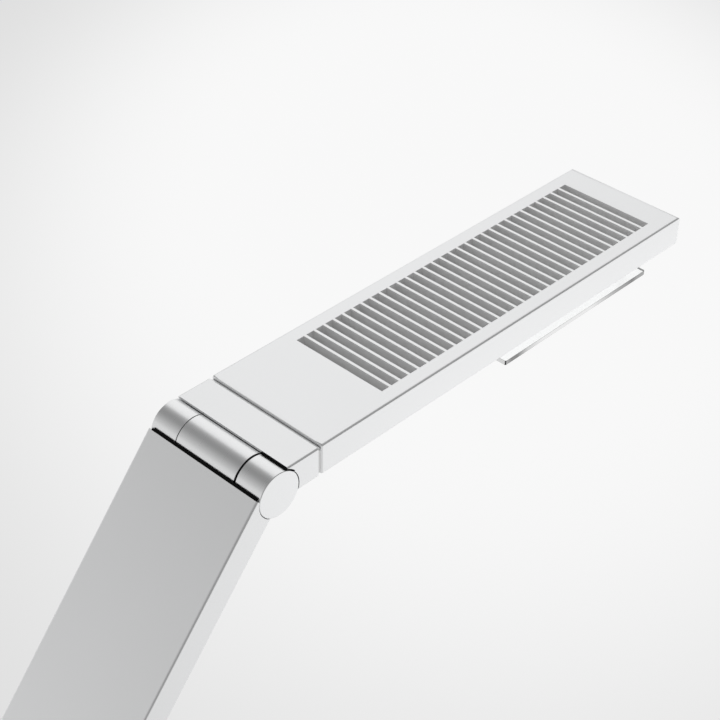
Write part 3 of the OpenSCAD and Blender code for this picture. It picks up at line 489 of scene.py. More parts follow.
swivel_x = frame["joints"][0]["pos_m"][0] / mm
button_low, button_high = (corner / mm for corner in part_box("power_button"))
button_at = (button_low + button_high) / 2
rocker_low, rocker_high = (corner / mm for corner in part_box("dimmer_rocker"))
rocker_at = (rocker_low + rocker_high) / 2
rocker_half = rocker_w / 2 + key_gap
rocker_slot = block(
    "rocker_slot",
    (rocker_at.x - rocker_half, rocker_low.y - key_gap, roof - past),
    (rocker_at.x + rocker_half, rocker_high.y + key_gap, high.z + past),
)
round_edges(rocker_slot, slot_corner_r, 4, along(2))
inlet_low, inlet_high = (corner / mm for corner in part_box("power_inlet"))
inlet_z = (inlet_low.z + inlet_high.z) / 2
mouth = block(
    "mouth",
    (low.x - past, -mouth_w / 2, inlet_z - mouth_h / 2),
    (low.x + cover_wall + past, mouth_w / 2, inlet_z + mouth_h / 2),
)
round_edges(mouth, mouth_r, 8, along(0))
foot, top = (Vector((button_at.x, button_at.y, z)) for z in (low.z, high.z + past))
cut(
    cover,
    rod("hub_hole", hub_hole_r, (swivel_x, 0, low.z), (swivel_x, 0, high.z + past)),
    rod("button_hole", button_r + key_gap, foot, top),
    rocker_slot,
    mouth,
)
inner = high.x - rim_margin
round_edges(cover, rim_r, 2, lambda a, b: at(2, high.z)(a, b) and max(abs(a.x), abs(b.x)) < inner)
round_edges(cover, rim_r, 2, lambda a, b: at(0, low.x)(a, b) and max(abs(a.y), abs(b.y)) < mouth_w)

for x, y in boss_spots:
    fuse(cover, rod("boss", boss_r, (x, y, boss_foot), (x, y, roof + cover_wall / 2), 32))
    cut(cover, rod("thread", boss_thread_r, (x, y, boss_foot - past), (x, y, roof - past), 24))

aluminium, shade, sockets = paint_of("satin_aluminium", Metallic=1.0)
blast = grain(shade, 0.35)
cloud = grain(shade, 45)
tint(shade, cloud, (0.875, 0.88, 0.885), (0.90, 0.905, 0.91)).feeds(sockets["Base Color"])
(0.30 + blast * 0.07 + cloud * 0.02).feeds(sockets["Roughness"])
bump(shade, blast, 0.006).feeds(sockets["Normal"])
fit(finished(cover), aluminium, "base", "satin_aluminium", "base_cover")

# ---------------------------------------------------------------------------------------------
# Inside the base: moulded power socket, circuit board with three dome switches, bearings of
# the rocker, and the plastic bush of the turntable's hub.
plastic, shade, sockets = paint_of("black_plastic", IOR=1.5)
spark = grain(shade, 0.5)
tint(shade, grain(shade, 25), (0.020, 0.020, 0.022), (0.030, 0.030, 0.032)).feeds(sockets["Base Color"])
(0.46 + spark * 0.14).feeds(sockets["Roughness"])
bump(shade, spark, 0.03).feeds(sockets["Normal"])
coat(plastic, "power_inlet", "rocker_cradle", "swivel_bush")

board, shade, sockets = paint_of("circuit_board", IOR=1.5)
bricks = {"Vector": shade.position(), "Scale": 120.0, "Mortar Size": 0.12}
tracks = shade.node("TexBrick", {"offset": 0.5}, bricks, "Fac")
tint(shade, tracks, (0.012, 0.075, 0.030), (0.030, 0.150, 0.060)).feeds(sockets["Base Color"])
(0.30 + tracks * 0.15).feeds(sockets["Roughness"])
bump(shade, tracks, 0.03).feeds(sockets["Normal"])
coat(board, "control_board")

# ---------------------------------------------------------------------------------------------
# Power key: a turned aluminium button with a dished top. A lip keeps it under the cover.
def turned(name, stations, sides=64):
    """A round solid about Z, from its stations: each a radius and a height, in millimetres."""
    radius, height = stations[0]
    bpy.ops.object.select_all(action="DESELECT")
    bpy.ops.mesh.primitive_circle_add(
        vertices=sides, radius=radius * mm, fill_type="NGON", location=(0, 0, height * mm)
    )
    piece = settle(bpy.context.active_object)
    piece.name = name
    bpy.ops.object.mode_set(mode="EDIT")
    bpy.ops.mesh.select_all(action="SELECT")
    for next_radius, next_height in stations[1:]:
        rise = (0, 0, (next_height - height) * mm)
        ratio = next_radius / radius
        bpy.ops.mesh.extrude_region_move(TRANSFORM_OT_translate={"value": rise})
        bpy.ops.transform.resize(value=(ratio, ratio, 1), center_override=(0, 0, 0))
        radius, height = next_radius, next_height
    bpy.ops.mesh.select_all(action="SELECT")
    bpy.ops.mesh.normals_make_consistent(inside=False)
    bpy.ops.object.mode_set(mode="OBJECT")
    return piece


def moved(x, y, z):
    """A place moved by millimetres."""
    return Matrix.Translation(Vector((x, y, z)) * mm)


tool_pitch = 0.22


def lathe_paint(name, centre, axis):
    """Turned aluminium: fine tool lines round an axis, on its rim and on its end faces."""
    paint, shade, sockets = paint_of(name, Metallic=1.0)
    offset = shade.node("VectorMath", {"operation": "SUBTRACT"}, {0: shade.position(), 1: centre})
    run = shade.node("VectorMath", {"operation": "DOT_PRODUCT"}, {0: offset, 1: axis}, "Value")
    lift = shade.node("VectorMath", {"operation": "SCALE"}, {0: axis, "Scale": run})
    spoke = shade.node("VectorMath", {"operation": "SUBTRACT"}, {0: offset, 1: lift})
    radius = shade.node("VectorMath", {"operation": "LENGTH"}, {0: spoke}, "Value")
    feed = {"W": run + radius, "Scale": 1 / (tool_pitch * mm), "Detail": 1.0}
    lines = shade.node("TexNoise", {"noise_dimensions": "1D"}, feed, "Fac")
    tint(shade, lines, (0.872, 0.877, 0.882), (0.88, 0.885, 0.89)).feeds(sockets["Base Color"])
    (0.27 + lines * 0.02).feeds(sockets["Roughness"])
    bump(shade, lines, 0.0004).feeds(sockets["Normal"])
    return paint


button_lip_r = 9.4
button_lip_t = 0.9
button_foot = button_low.z
button_top = button_high.z
button = turned(
    "power_key",
    [
        (button_lip_r, button_foot),
        (button_lip_r, button_foot + button_lip_t),
        (button_r, button_foot + button_lip_t),
        (button_r, button_top - 0.4),
        (button_r - 0.12, button_top - 0.12),
        (button_r - 0.4, button_top),
        (button_r - 1.2, button_top),
        (5.2, button_top - 0.18),
        (3.2, button_top - 0.34),
        (1.1, button_top - 0.42),
        (1.0, button_top - 0.62),
        (0.8, button_top - 0.66),
    ],
    96,
)
settle(button, moved(button_at.x, button_at.y, 0))
button_paint = lathe_paint("turned_key", button_at * mm, (0, 0, 1))
fit(finished(button, 30), button_paint, "power_button", "turned_aluminium", "power_button")

# ---------------------------------------------------------------------------------------------
# Dimmer key: a milled aluminium rocker with a shallow saddle between its two ends. It tips on
# trunnions; a cross and a bar cut in its ends say brighter and darker.
rocker_top = rocker_high.z
rocker_corner_r = 0.5
rocker_rim_r = 0.35
saddle_deep = 0.45
saddle_w = 14
mark_l = 3.2
mark_w = 0.5
mark_deep = 0.25
mark_inset = 5.5
trunnion_z = 17.4
trunnion_r = 1
half_w = rocker_w / 2
rocker = block(
    "dimmer_key",
    (rocker_at.x - half_w, rocker_low.y, trunnion_z - trunnion_r),
    (rocker_at.x + half_w, rocker_high.y, rocker_top),
)
alone(rocker)
bpy.ops.object.mode_set(mode="EDIT")
bpy.ops.mesh.select_all(action="SELECT")
bpy.ops.mesh.bisect(plane_co=rocker_at * mm, plane_no=(0, 1, 0))
bpy.ops.mesh.select_mode(type="EDGE")
bpy.ops.mesh.select_all(action="DESELECT")
mesh = bmesh.from_edit_mesh(rocker.data)
for edge in mesh.edges:
    a, b = (vertex.co / mm for vertex in edge.verts)
    edge.select_set(at(1, rocker_at.y)(a, b) and at(2, rocker_top)(a, b))
bmesh.update_edit_mesh(rocker.data)
bpy.ops.transform.translate(value=(0, 0, -saddle_deep * mm))
bpy.ops.mesh.bevel(offset=saddle_w / 2 * mm, segments=10, affect="EDGES")
bpy.ops.object.mode_set(mode="OBJECT")
round_edges(rocker, rocker_corner_r, 3, along(2))
round_edges(rocker, rocker_rim_r, 3, lambda a, b: min(a.z, b.z) > rocker_top - 1)


def mark(y, length, width):
    """A cutter for one stroke of a mark, square to the key's top."""
    reach = Vector((length, width, 0)) / 2
    middle = Vector((rocker_at.x, y, rocker_top))
    foot, top = Vector((0, 0, -mark_deep)), Vector((0, 0, past))
    return block("mark", middle - reach + foot, middle + reach + top)


plus_y = rocker_high.y - mark_inset
minus_y = rocker_low.y + mark_inset
cut(rocker, mark(plus_y, mark_l, mark_w), mark(plus_y, mark_w, mark_l), mark(minus_y, mark_w, mark_l))
trunnion_from = (rocker_low.x, rocker_at.y, trunnion_z)
trunnion_to = (rocker_high.x, rocker_at.y, trunnion_z)
fuse(rocker, rod("trunnions", trunnion_r, trunnion_from, trunnion_to, 24))
fit(finished(rocker, 30), aluminium, "dimmer_rocker", "turned_aluminium", "dimmer_rocker")

# ---------------------------------------------------------------------------------------------
# Turntable: an aluminium casting with a disc, a hub through the base and a pedestal that is
# hollowed around the lowest barrel. A round nut holds it from below.
hinges = {
    joint["name"]: Vector(joint["pos_m"]) for joint in frame["joints"] if joint["type"] == "hinge"
}
low_hinge = hinges["base_tilt"]
mid_hinge = hinges["elbow_fold"]
top_hinge = hinges["head_tilt"]
width = 80
socket_r = 13.5
table_r = 45
table_low = 21.4
table_top = 24.4
hub_r = 11
pedestal_l = 34
pedestal_w = 78
pedestal_top = 32.4
pedestal_corner_r = 2
pedestal_rim_r = 0.6
tongue_room = Vector((5.05, 18.25, 0))
cable_way_r = 6
hinge_z = low_hinge.z / mm
hub_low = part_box("turntable")[0].z / mm
table = turned(
    "turntable_casting",
    [
        (hub_r, hub_low),
        (hub_r, table_low),
        (table_r - 0.3, table_low),
        (table_r, table_low + 0.3),
        (table_r, table_top - 0.8),
        (table_r - 0.24, table_top - 0.24),
        (table_r - 0.8, table_top),
    ],
    160,
)
settle(table, moved(swivel_x, 0, 0))
pedestal = block(
    "pedestal",
    (swivel_x - pedestal_l / 2, -pedestal_w / 2, table_low + past),
    (swivel_x + pedestal_l / 2, pedestal_w / 2, pedestal_top),
)
round_edges(pedestal, pedestal_corner_r, 5, along(2))
round_edges(pedestal, pedestal_rim_r, 3, at(2, pedestal_top))
fuse(table, pedestal)
foot, top = (Vector((swivel_x, 0, z)) for z in (table_top, table_top + socket_r))
cut(
    table,
    rod("socket", socket_r, (swivel_x, -width, hinge_z), (swivel_x, width, hinge_z), 128),
    block("tongue_slot", foot - tongue_room, top + tongue_room),
    rod("cable_way", cable_way_r, (swivel_x, 0, 0), (swivel_x, 0, table_low + past), 48),
)
round_edges(table, rim_r, 2, lambda a, b: at(2, pedestal_top)(a, b) and abs(a.x - swivel_x) < socket_r)
fit(finished(table), aluminium, "turntable", "satin_aluminium", "turntable")
coat(steel, "swivel_nut", "pedestal_screws")

# ---------------------------------------------------------------------------------------------
# Barrel hinges: three alike, each with a middle knuckle on one piece and two cups on the next,
# all turned from bar. Bronze discs under cone springs hold them; black shims fill the seams,
# painted blacker than black plastic as shade.
barrel_r = 13.2
seam_rim = 0.25
end_rim = 0.5
near_seam = (-22.1, -20.9)
far_seam = (21.5, 21.9)
chamber_r = 9.5
web_half = 7
bush_hole_r = 6.05
pin_hole_r = 4.05
pin_hole_half = 36.95
tongue_t = 10
tongue_low = -1.35
tongue_high = tongue_low + tongue_t
knuckle_tongue = 18.2
cup_tongue_y = 31.05
cup_tongue_half = 6
tongue_l = 34
base_tongue_l = 16.45
neck_tongue_l = 22.7
arm_l = 400


def barrel(name, start, end, start_rim, end_rim):
    """A round bar along the hinge axis, with its two rims rounded."""
    piece = rod(name, barrel_r, (0, start, 0), (0, end, 0), 128)
    round_edges(piece, start_rim, 3, at(1, start))
    round_edges(piece, end_rim, 4, at(1, end))
    return piece


def knuckle(name, start, end, tongue_foot, reach):
    """The middle of a barrel, with its tongue above a height and its spring chambers."""
    piece = barrel(name, start, end, seam_rim, seam_rim)
    tongue_top = tongue_foot + tongue_t
    fuse(piece, block("tongue", (0, -knuckle_tongue, tongue_foot), (reach, knuckle_tongue, tongue_top)))
    cut(piece, rod("bush_hole", bush_hole_r, (0, -width, 0), (0, width, 0), 64))
    for side in (-1, 1):
        cut(piece, rod("chamber", chamber_r, (0, side * web_half, 0), (0, side * width, 0), 64))
    return piece


def cup(name, start, end, reach):
    """One end of a barrel, with its tongue; the keyed pin ends in a blind hole."""
    side = math.copysign(1, start)
    piece = barrel(name, start, end, seam_rim, end_rim)
    foot = (0, side * cup_tongue_y - cup_tongue_half, tongue_low)
    top = (reach, side * cup_tongue_y + cup_tongue_half, tongue_high)
    fuse(piece, block("tongue", foot, top))
    return cut(piece, rod("pin_hole", pin_hole_r, (0, 0, 0), (0, side * pin_hole_half, 0), 48))


def twin(piece, name, place):
    """A copy with its own mesh, at another place."""
    alone(piece)
    bpy.ops.object.duplicate()
    copy = bpy.context.active_object
    copy.name = name
    return settle(copy, place)


def reaching(start, end):
    """The place of a piece that is modelled along X and runs from one hinge to the next."""
    run = end - start
    return Matrix.Translation(start) @ Matrix.Rotation(-math.atan2(run.z, run.x), 4, "Y")


lower_place = reaching(low_hinge, mid_hinge)
upper_place = reaching(mid_hinge, top_hinge)
neck_place = Matrix.Translation(top_hinge)
arm_top = moved(arm_l, 0, 0) @ Matrix.Rotation(math.pi, 4, "Z")

base_knuckle = knuckle("base_barrel_middle", near_seam[1], far_seam[0], -tongue_t / 2, base_tongue_l)
settle(base_knuckle, Matrix.Translation(low_hinge) @ Matrix.Rotation(math.pi / 2, 4, "Y"))
arm_knuckle = knuckle("elbow_barrel_middle", -far_seam[0], -near_seam[1], tongue_low, tongue_l)
head_knuckle = twin(arm_knuckle, "head_barrel_middle", upper_place @ arm_top)
settle(arm_knuckle, lower_place @ arm_top)
near_arm_cup = cup("base_barrel_near", near_seam[0], -width / 2, tongue_l)
far_arm_cup = cup("base_barrel_far", far_seam[1], width / 2, tongue_l)
elbow_cups = [
    twin(near_arm_cup, "elbow_barrel_near", upper_place),
    twin(far_arm_cup, "elbow_barrel_far", upper_place),
]
base_cups = [settle(near_arm_cup, lower_place), settle(far_arm_cup, lower_place)]
head_cups = [
    settle(cup("head_barrel_near", near_seam[0], -width / 2, neck_tongue_l), neck_place),
    settle(cup("head_barrel_far", far_seam[1], width / 2, neck_tongue_l), neck_place),
]

base_paint = lathe_paint("turned_base_barrel", low_hinge, (0, 1, 0))
elbow_paint = lathe_paint("turned_elbow_barrel", mid_hinge, (0, 1, 0))
head_paint = lathe_paint("turned_head_barrel", top_hinge, (0, 1, 0))
fit(finished(base_knuckle), base_paint, "turntable", "turned_aluminium", "base_knuckle")
fit(finished(arm_knuckle), elbow_paint, "lower_arm", "turned_aluminium", "elbow_knuckle")
fit(finished(head_knuckle), head_paint, "upper_arm", "turned_aluminium", "head_knuckle")
for pair, paint, body, node in (
    (base_cups, base_paint, "lower_arm", "base_cups"),
    (elbow_cups, elbow_paint, "upper_arm", "elbow_cups"),
    (head_cups, head_paint, "neck", "head_cups"),
):
    for piece in pair:
        fit(finished(piece), paint, body, "turned_aluminium", node)

bronze, shade, sockets = paint_of("bronze", Metallic=1.0)
cast = grain(shade, 0.8)
tint(shade, cast, (0.50, 0.32, 0.14), (0.62, 0.42, 0.21)).feeds(sockets["Base Color"])
(0.34 + cast * 0.14).feeds(sockets["Roughness"])
bump(shade, cast, 0.01).feeds(sockets["Normal"])
# Painted shade: shims and arm plugs are real black parts, painted near-zero black, darker than plastic,
# for the deep shade in the seams and arm ends.
shade_black, shade, sockets = paint_of("black_with_painted_shade", Specular_IOR_Level=0.15)
black_grain = grain(shade, 0.3)
tint(shade, black_grain, (0.003, 0.003, 0.003), (0.006, 0.006, 0.006)).feeds(sockets["Base Color"])
(0.8 + black_grain * 0.15).feeds(sockets["Roughness"])
bump(shade, black_grain, 0.03).feeds(sockets["Normal"])
for hinge in ("base", "elbow", "head"):
    coat(plastic, hinge + "_bushes")
    coat(shade_black, hinge + "_shims")
    coat(bronze, hinge + "_discs")
    coat(steel, hinge + "_pin", hinge + "_springs", hinge + "_nuts")

# ---------------------------------------------------------------------------------------------
# Arms: two lengths of the same flat hollow aluminium profile, blasted and anodised, with a
# hollow round milled in each end. Black plugs close them; the lead runs inside.
arm_low = -3.4
arm_high = 14
arm_wall = 2
arm_trim = 6.1
arm_edge_t = 0.6
arm_rebate = 8.1
fit_gap = 0.05
screw_r = 1.5
screw_head_r = 2.9
screw_short = 1
key_r = 1.25
key_deep = 1.1
screw_x = 26
knuckle_screw_y = 11.2


def countersunk(name, radius, head_r, length, run_out=0):
    """A countersunk screw's shape, head down at the origin; a cutter's head runs out below."""
    taper = head_r - radius
    foot = [(head_r, -run_out)] if run_out else []
    return turned(name, foot + [(head_r, 0), (radius, taper), (radius, length)], 32)


def screw(name, length):
    """A countersunk screw with a hexagon socket."""
    piece = countersunk(name, screw_r, screw_head_r, length)
    cut(piece, rod("hexagon", key_r, (0, 0, -past), (0, 0, key_deep), 6))
    return finished(piece, 30)


def screw_hole(x, y, z, length):
    """A cutter for such a screw, head down."""
    hole = countersunk("screw_hole", screw_r + fit_gap, screw_head_r + 2 * fit_gap, length, past)
    return settle(hole, moved(x, y, z))


def end_cut(name, end, reach, half, z0, z1):
    """A cutter over one end of the arm, which reaches that far past the hinge axis."""
    x0, x1 = (arm_l - reach, arm_l + past) if end else (-past, reach)
    return block(name, (x0, -half, z0), (x1, half, z1))


arm = block("lower_arm_bar", (0, -width / 2, arm_low), (arm_l, width / 2, arm_high))
round_edges(arm, edge_r, 4, along(0))
inside = width / 2 - arm_wall
foot, top = (-past, -inside, arm_low + arm_wall), (arm_l + past, inside, arm_high - arm_wall)
cut(arm, block("hollow", foot, top))
for end in (0, 1):
    cut(
        arm,
        rod("socket", socket_r, (end * arm_l, -width, 0), (end * arm_l, width, 0), 160),
        end_cut("trim", end, arm_trim, width, 0, arm_high + past),
        end_cut("rebate", end, arm_rebate, inside, arm_high - arm_wall - past, arm_high - arm_edge_t),
    )
arm_screws = [(screw_x, side * cup_tongue_y) for side in (-1, 1)]
arm_screws += [(arm_l - screw_x, side * knuckle_screw_y) for side in (-1, 1)]
for x, y in arm_screws:
    cut(arm, screw_hole(x, y, arm_low, arm_wall + past))
upper_arm = twin(arm, "upper_arm_bar", upper_place)
settle(arm, lower_place)
fit(finished(arm), aluminium, "lower_arm", "satin_aluminium", "lower_arm_profile")
fit(finished(upper_arm), aluminium, "upper_arm", "satin_aluminium", "upper_arm_profile")
coat(plastic, "lower_arm_lead", "upper_arm_lead")
# The plugs take that near-zero black as painted shade at the arm ends.
coat(shade_black, "lower_arm_plugs", "upper_arm_plugs")

arm_screw = screw("arm_screw", tongue_high - arm_low - screw_short)
for arm_name, place in (("lower_arm", lower_place), ("upper_arm", upper_place)):
    for count, (x, y) in enumerate(arm_screws):
        copy = twin(arm_screw, f"{arm_name}_screw_{count + 1}", place @ moved(x, y, arm_low))
        fit(copy, steel, arm_name, "steel", arm_name + "_screws")
bpy.data.objects.remove(arm_screw)

# ---------------------------------------------------------------------------------------------
# Neck: a solid aluminium block, hollowed around the top barrel and finished like the head.
# The barrel's two cups are screwed into it from below; a recess beside the near one takes the
# black seal.
neck_l = 26.7
neck_low = -4.7
neck_high = 13.6
neck_trim = 5.85
neck_screw_x = 18.7
neck_screw_l = tongue_high - neck_low - screw_short
seal_depth = 0.6
seal_low = 9
roll_z = 4.7
shaft_hole_r = 4.05
shaft_hole_l = 11
neck_way_r = 2.2
seam_edge_r = 0.5


def round_upper(piece, x, inward, z, radius):
    """Rounds the upper edge across the lamp at x; inward is the sign of X into the piece."""
    inner, outer = sorted((x + inward * radius, x - inward * past))
    corner = block("corner", (inner, -width, z - radius), (outer, width, z + past))
    start, end = (Vector((x + inward * radius, y, z - radius)) for y in (-2 * width, 2 * width))
    cut(piece, cut(corner, rod("rounding", radius, start, end, 64)))


neck = block("neck_body", (0, -width / 2, neck_low), (neck_l, width / 2, neck_high))
round_edges(neck, edge_r, 4, along(0))
round_upper(neck, neck_l, -1, neck_high, seam_edge_r)
cut(
    neck,
    rod("socket", socket_r, (0, -width, 0), (0, width, 0), 160),
    block("trim", (-past, -width, 0), (neck_trim, width, neck_high + past)),
)
seal_room = rod("seal_room", socket_r + seal_depth, (0, -width, 0), (0, near_seam[0], 0), 160)
cut(neck, cut(seal_room, block("below", (-width, -2 * width, -width), (width, width, seal_low))))
for side in (-1, 1):
    middle = side * cup_tongue_y
    foot = (0, middle - cup_tongue_half - fit_gap, tongue_low - fit_gap)
    top = (neck_tongue_l + fit_gap, middle + cup_tongue_half + fit_gap, tongue_high + fit_gap)
    cut(neck, block("tongue_slot", foot, top), screw_hole(neck_screw_x, middle, neck_low, neck_screw_l))
cut(
    neck,
    rod("shaft_hole", shaft_hole_r, (neck_l - shaft_hole_l, 0, roll_z), (neck_l + past, 0, roll_z), 48),
    rod("cable_way", neck_way_r, (0, 0, roll_z), (neck_l, 0, roll_z), 32),
)
settle(neck, neck_place)
fit(finished(neck), aluminium, "neck", "satin_aluminium", "neck_block")
neck_screw = screw("neck_screw", neck_screw_l)
for count, side in enumerate((-1, 1)):
    place = neck_place @ moved(neck_screw_x, side * cup_tongue_y, neck_low)
    fit(twin(neck_screw, f"neck_screw_{count + 1}", place), steel, "neck", "steel", "neck_screws")
bpy.data.objects.remove(neck_screw)
coat(steel, "roll_shaft", "roll_nut")
coat(plastic, "roll_bush")

# ---------------------------------------------------------------------------------------------
# Thrust plate: a thin aluminium plate on the neck's end, which the head turns against. It lies a
# little inside the outline and draws a fine groove in the seam; its sides are painted dark as shade.
def variant(paint, name):
    """A copy of a paint: it, its shader maths, its sockets, and the colour that it had."""
    copy = paint.copy()
    copy.name = name
    sockets = copy.node_tree.nodes["Principled BSDF"].inputs
    colour = Shade(copy.node_tree, sockets["Base Color"].links[0].from_socket)
    return copy, Shade(copy.node_tree), sockets, colour


seam_shade_tint = (0.6, 0.6, 0.6, 1)
skin = 0.05
low, high = (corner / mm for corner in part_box("thrust_plate"))
seam_shaded_aluminium, shade, sockets, blasted = variant(aluminium, "aluminium_with_painted_seam_shade")
sides = shade.part("Y").above((high.y - skin) * mm) + shade.part("Y").below((low.y + skin) * mm)
# Painted shade: the plate's sides are darkened to deepen the seam.
mixed(shade, sides, blasted, seam_shade_tint).feeds(sockets["Base Color"])
coat(seam_shaded_aluminium, "thrust_plate")

# ---------------------------------------------------------------------------------------------
# Head: an aluminium housing with 32 cooling slots milled between its fins. It is open below,
# where a rebate takes the cover. Its rims and its tip's corners are rounded, and the top edge
# of the tip is rounded more.
low, high = (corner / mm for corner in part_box("head_housing"))
joint_x = low.x
head_top = high.z
tip_corner_r = 3
tip_r = 5
fin_deep = 10.55
head_wall = 2.5
end_wall = 6
wiring_l = 47.375
roof_t = 2.2
rebate_deep = 1.55
rebate_step = 1
head_thread_r = 1.55
head_thread_l = 12.3
head_screws = [(x, side * 34.25) for x in (55.375, 275.555) for side in (-1, 1)]
roll_hole_r = 5.3
slot_first = 54.95
slot_pitch = 7.13
slot_w = 5.15
slot_l = 62
slot_n = 32
slot_rim = 0.2
painted_slot_light_weight = 0.85
painted_slot_light_tint = (0.97, 0.97, 0.97, 1)
head = block("head_shell", low, high)
round_edges(head, tip_corner_r, 8, lambda a, b: along(2)(a, b) and a.x > joint_x + 1)
round_edges(head, edge_r, 4, lambda a, b: along(2)(a, b) and at(0, joint_x)(a, b))
round_edges(head, edge_r, 4, lambda a, b: at(2, low.z, high.z)(a, b) and not at(0, joint_x)(a, b))
round_upper(head, joint_x, 1, head_top, seam_edge_r)
round_upper(head, high.x, -1, head_top, tip_r)


def in_head(name, x0, x1, half, z0, z1):
    """A block in the head: x from its joint face, half its width, and heights below its top."""
    return block(name, (joint_x + x0, -half, head_top + z0), (joint_x + x1, half, head_top + z1))


head_t = head_top - low.z
head_l = high.x - joint_x
half_in = width / 2 - head_wall
under = -head_t - past
slot_start, slot_end = slot_first - slot_w / 2, slot_first + slot_w / 2
slots = in_head("slots", slot_start, slot_end, slot_l / 2, -fin_deep - past, past)
alone(slots)
bpy.ops.object.modifier_add(type="ARRAY")
array = slots.modifiers[-1]
array.count = slot_n
array.use_relative_offset = False
array.use_constant_offset = True
array.constant_offset_displace = (slot_pitch * mm, 0, 0)
bpy.ops.object.modifier_apply(modifier=array.name)
cut(
    head,
    in_head("under_fins", end_wall, head_l - head_wall, half_in, under, -fin_deep),
    in_head("wiring_space", end_wall, wiring_l, half_in, under, -roof_t),
    in_head(
        "rebate",
        end_wall - rebate_step,
        head_l - head_wall + rebate_step,
        half_in + rebate_step,
        under,
        -head_t + rebate_deep,
    ),
    slots,
)
for x, y in head_screws:
    foot, top = (joint_x + x, y, head_top - fin_deep - past), (joint_x + x, y, low.z + head_thread_l)
    cut(head, rod("thread", head_thread_r, foot, top, 24))
bush_z = low.z + head_t / 2
foot, top = (joint_x - past, 0, bush_z), (joint_x + end_wall + past, 0, bush_z)
cut(head, rod("bush_hole", roll_hole_r, foot, top, 48))


def slot_rims(a, b):
    return at(2, head_top)(a, b) and max(abs(a.y), abs(b.y)) < slot_l / 2 + skin


round_edges(head, slot_rim, 2, slot_rims)

# Painted light: between the fins the walls are whiter and less metallic than the outside, so the slots
# read lighter.
slot_lit_aluminium, shade, sockets, blasted = variant(aluminium, "aluminium_with_painted_slot_light")
inside_slots = (
    shade.part("Z").below((head_top - slot_rim) * mm)
    * shade.part("X").above((joint_x + slot_first - slot_pitch) * mm)
    * shade.part("X").below((joint_x + slot_first + slot_n * slot_pitch) * mm)
    * shade.part("Y").below((slot_l / 2 + slot_rim) * mm)
    * shade.part("Y").above(-(slot_l / 2 + slot_rim) * mm)
)
(1.0 - inside_slots * painted_slot_light_weight).feeds(sockets["Metallic"])
mixed(shade, inside_slots, blasted, painted_slot_light_tint).feeds(sockets["Base Color"])
fit(finished(head), slot_lit_aluminium, "head", "satin_aluminium", "head_housing")

# ---------------------------------------------------------------------------------------------
# Light: emitters on a white board, screwed with an aluminium spreader under the fins, behind
# an opal panel with a fine prism pattern.
coat(aluminium, "heat_spreader")

lacquer, shade, sockets = paint_of("white_board", IOR=1.5)
print_grain = grain(shade, 0.6)
tint(shade, grain(shade, 12), (0.78, 0.78, 0.76), (0.84, 0.84, 0.82)).feeds(sockets["Base Color"])
(0.35 + print_grain * 0.1).feeds(sockets["Roughness"])
bump(shade, print_grain, 0.01).feeds(sockets["Normal"])
coat(lacquer, "led_board")

phosphor, shade, sockets = paint_of("emitter", IOR=1.45)
grains = grain(shade, 0.3)
tint(shade, grains, (0.80, 0.62, 0.10), (0.90, 0.74, 0.22)).feeds(sockets["Base Color"])
(0.4 + grains * 0.2).feeds(sockets["Roughness"])
bump(shade, grains, 0.02).feeds(sockets["Normal"])
coat(phosphor, "led_chips")

window_l = 108.5
window_w = 56
window_x = 205.35
window_start, window_end = window_x - window_l / 2, window_x + window_l / 2
lip = 2
opal_rim_r = 0.3
panel_low, panel_high = (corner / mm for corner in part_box("diffuser_panel"))
panel = in_head(
    "opal_panel",
    window_start + fit_gap,
    window_end - fit_gap,
    window_w / 2 - fit_gap,
    panel_low.z - head_top,
    -head_t + rebate_deep + fit_gap,
)
round_edges(panel, opal_rim_r, 2, at(2, panel_low.z))
fuse(
    panel,
    in_head(
        "lip",
        window_start - lip,
        window_end + lip,
        window_w / 2 + lip,
        -head_t + rebate_deep,
        panel_high.z - head_top,
    ),
)
opal, shade, sockets = paint_of("opal_plastic", IOR=1.49)
cells = {"Vector": shade.position(), "Scale": 900.0}
prisms = shade.node("TexVoronoi", {"feature": "DISTANCE_TO_EDGE"}, cells, "Distance")
tint(shade, grain(shade, 30), (0.86, 0.86, 0.85), (0.90, 0.90, 0.89)).feeds(sockets["Base Color"])
(0.38 + prisms * 0.1).feeds(sockets["Roughness"])
bump(shade, prisms, 0.08).feeds(sockets["Normal"])
fit(finished(panel), opal, "head", "opal_plastic", "diffuser_panel")

# ---------------------------------------------------------------------------------------------
# Underside cover: aluminium sheet let into the head's rebate, with the light window, four
# countersunk screws and four holes for the stand-offs.
cover_t = 1.5
arc_edge = 3
post_spots = [(x, side * 27.5) for x in (147.1, 263.6) for side in (-1, 1)]
under_low, under_high = (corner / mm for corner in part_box("underside_cover"))
sheet = block("underside_sheet", under_low, under_high)
cut(sheet, in_head("window", window_start, window_end, window_w / 2, under, 0))
for x, y in head_screws:
    cut(sheet, screw_hole(joint_x + x, y, low.z, cover_t + past))
for x, y in post_spots:
    foot, top = (joint_x + x, y, low.z - past), (joint_x + x, y, low.z + cover_t + past)
    cut(sheet, rod("post_hole", screw_r + fit_gap, foot, top, 32))
round_edges(sheet, rim_r, 2, lambda a, b: at(2, low.z)(a, b) and (a - b).length >= arc_edge)
fit(finished(sheet), aluminium, "head", "satin_aluminium", "underside_cover")
head_screw = screw("head_screw", head_thread_l - fit_gap)
for count, (x, y) in enumerate(head_screws):
    copy = twin(head_screw, f"head_screw_{count + 1}", moved(joint_x + x, y, low.z))
    fit(copy, steel, "head", "steel", "head_screws")
bpy.data.objects.remove(head_screw)
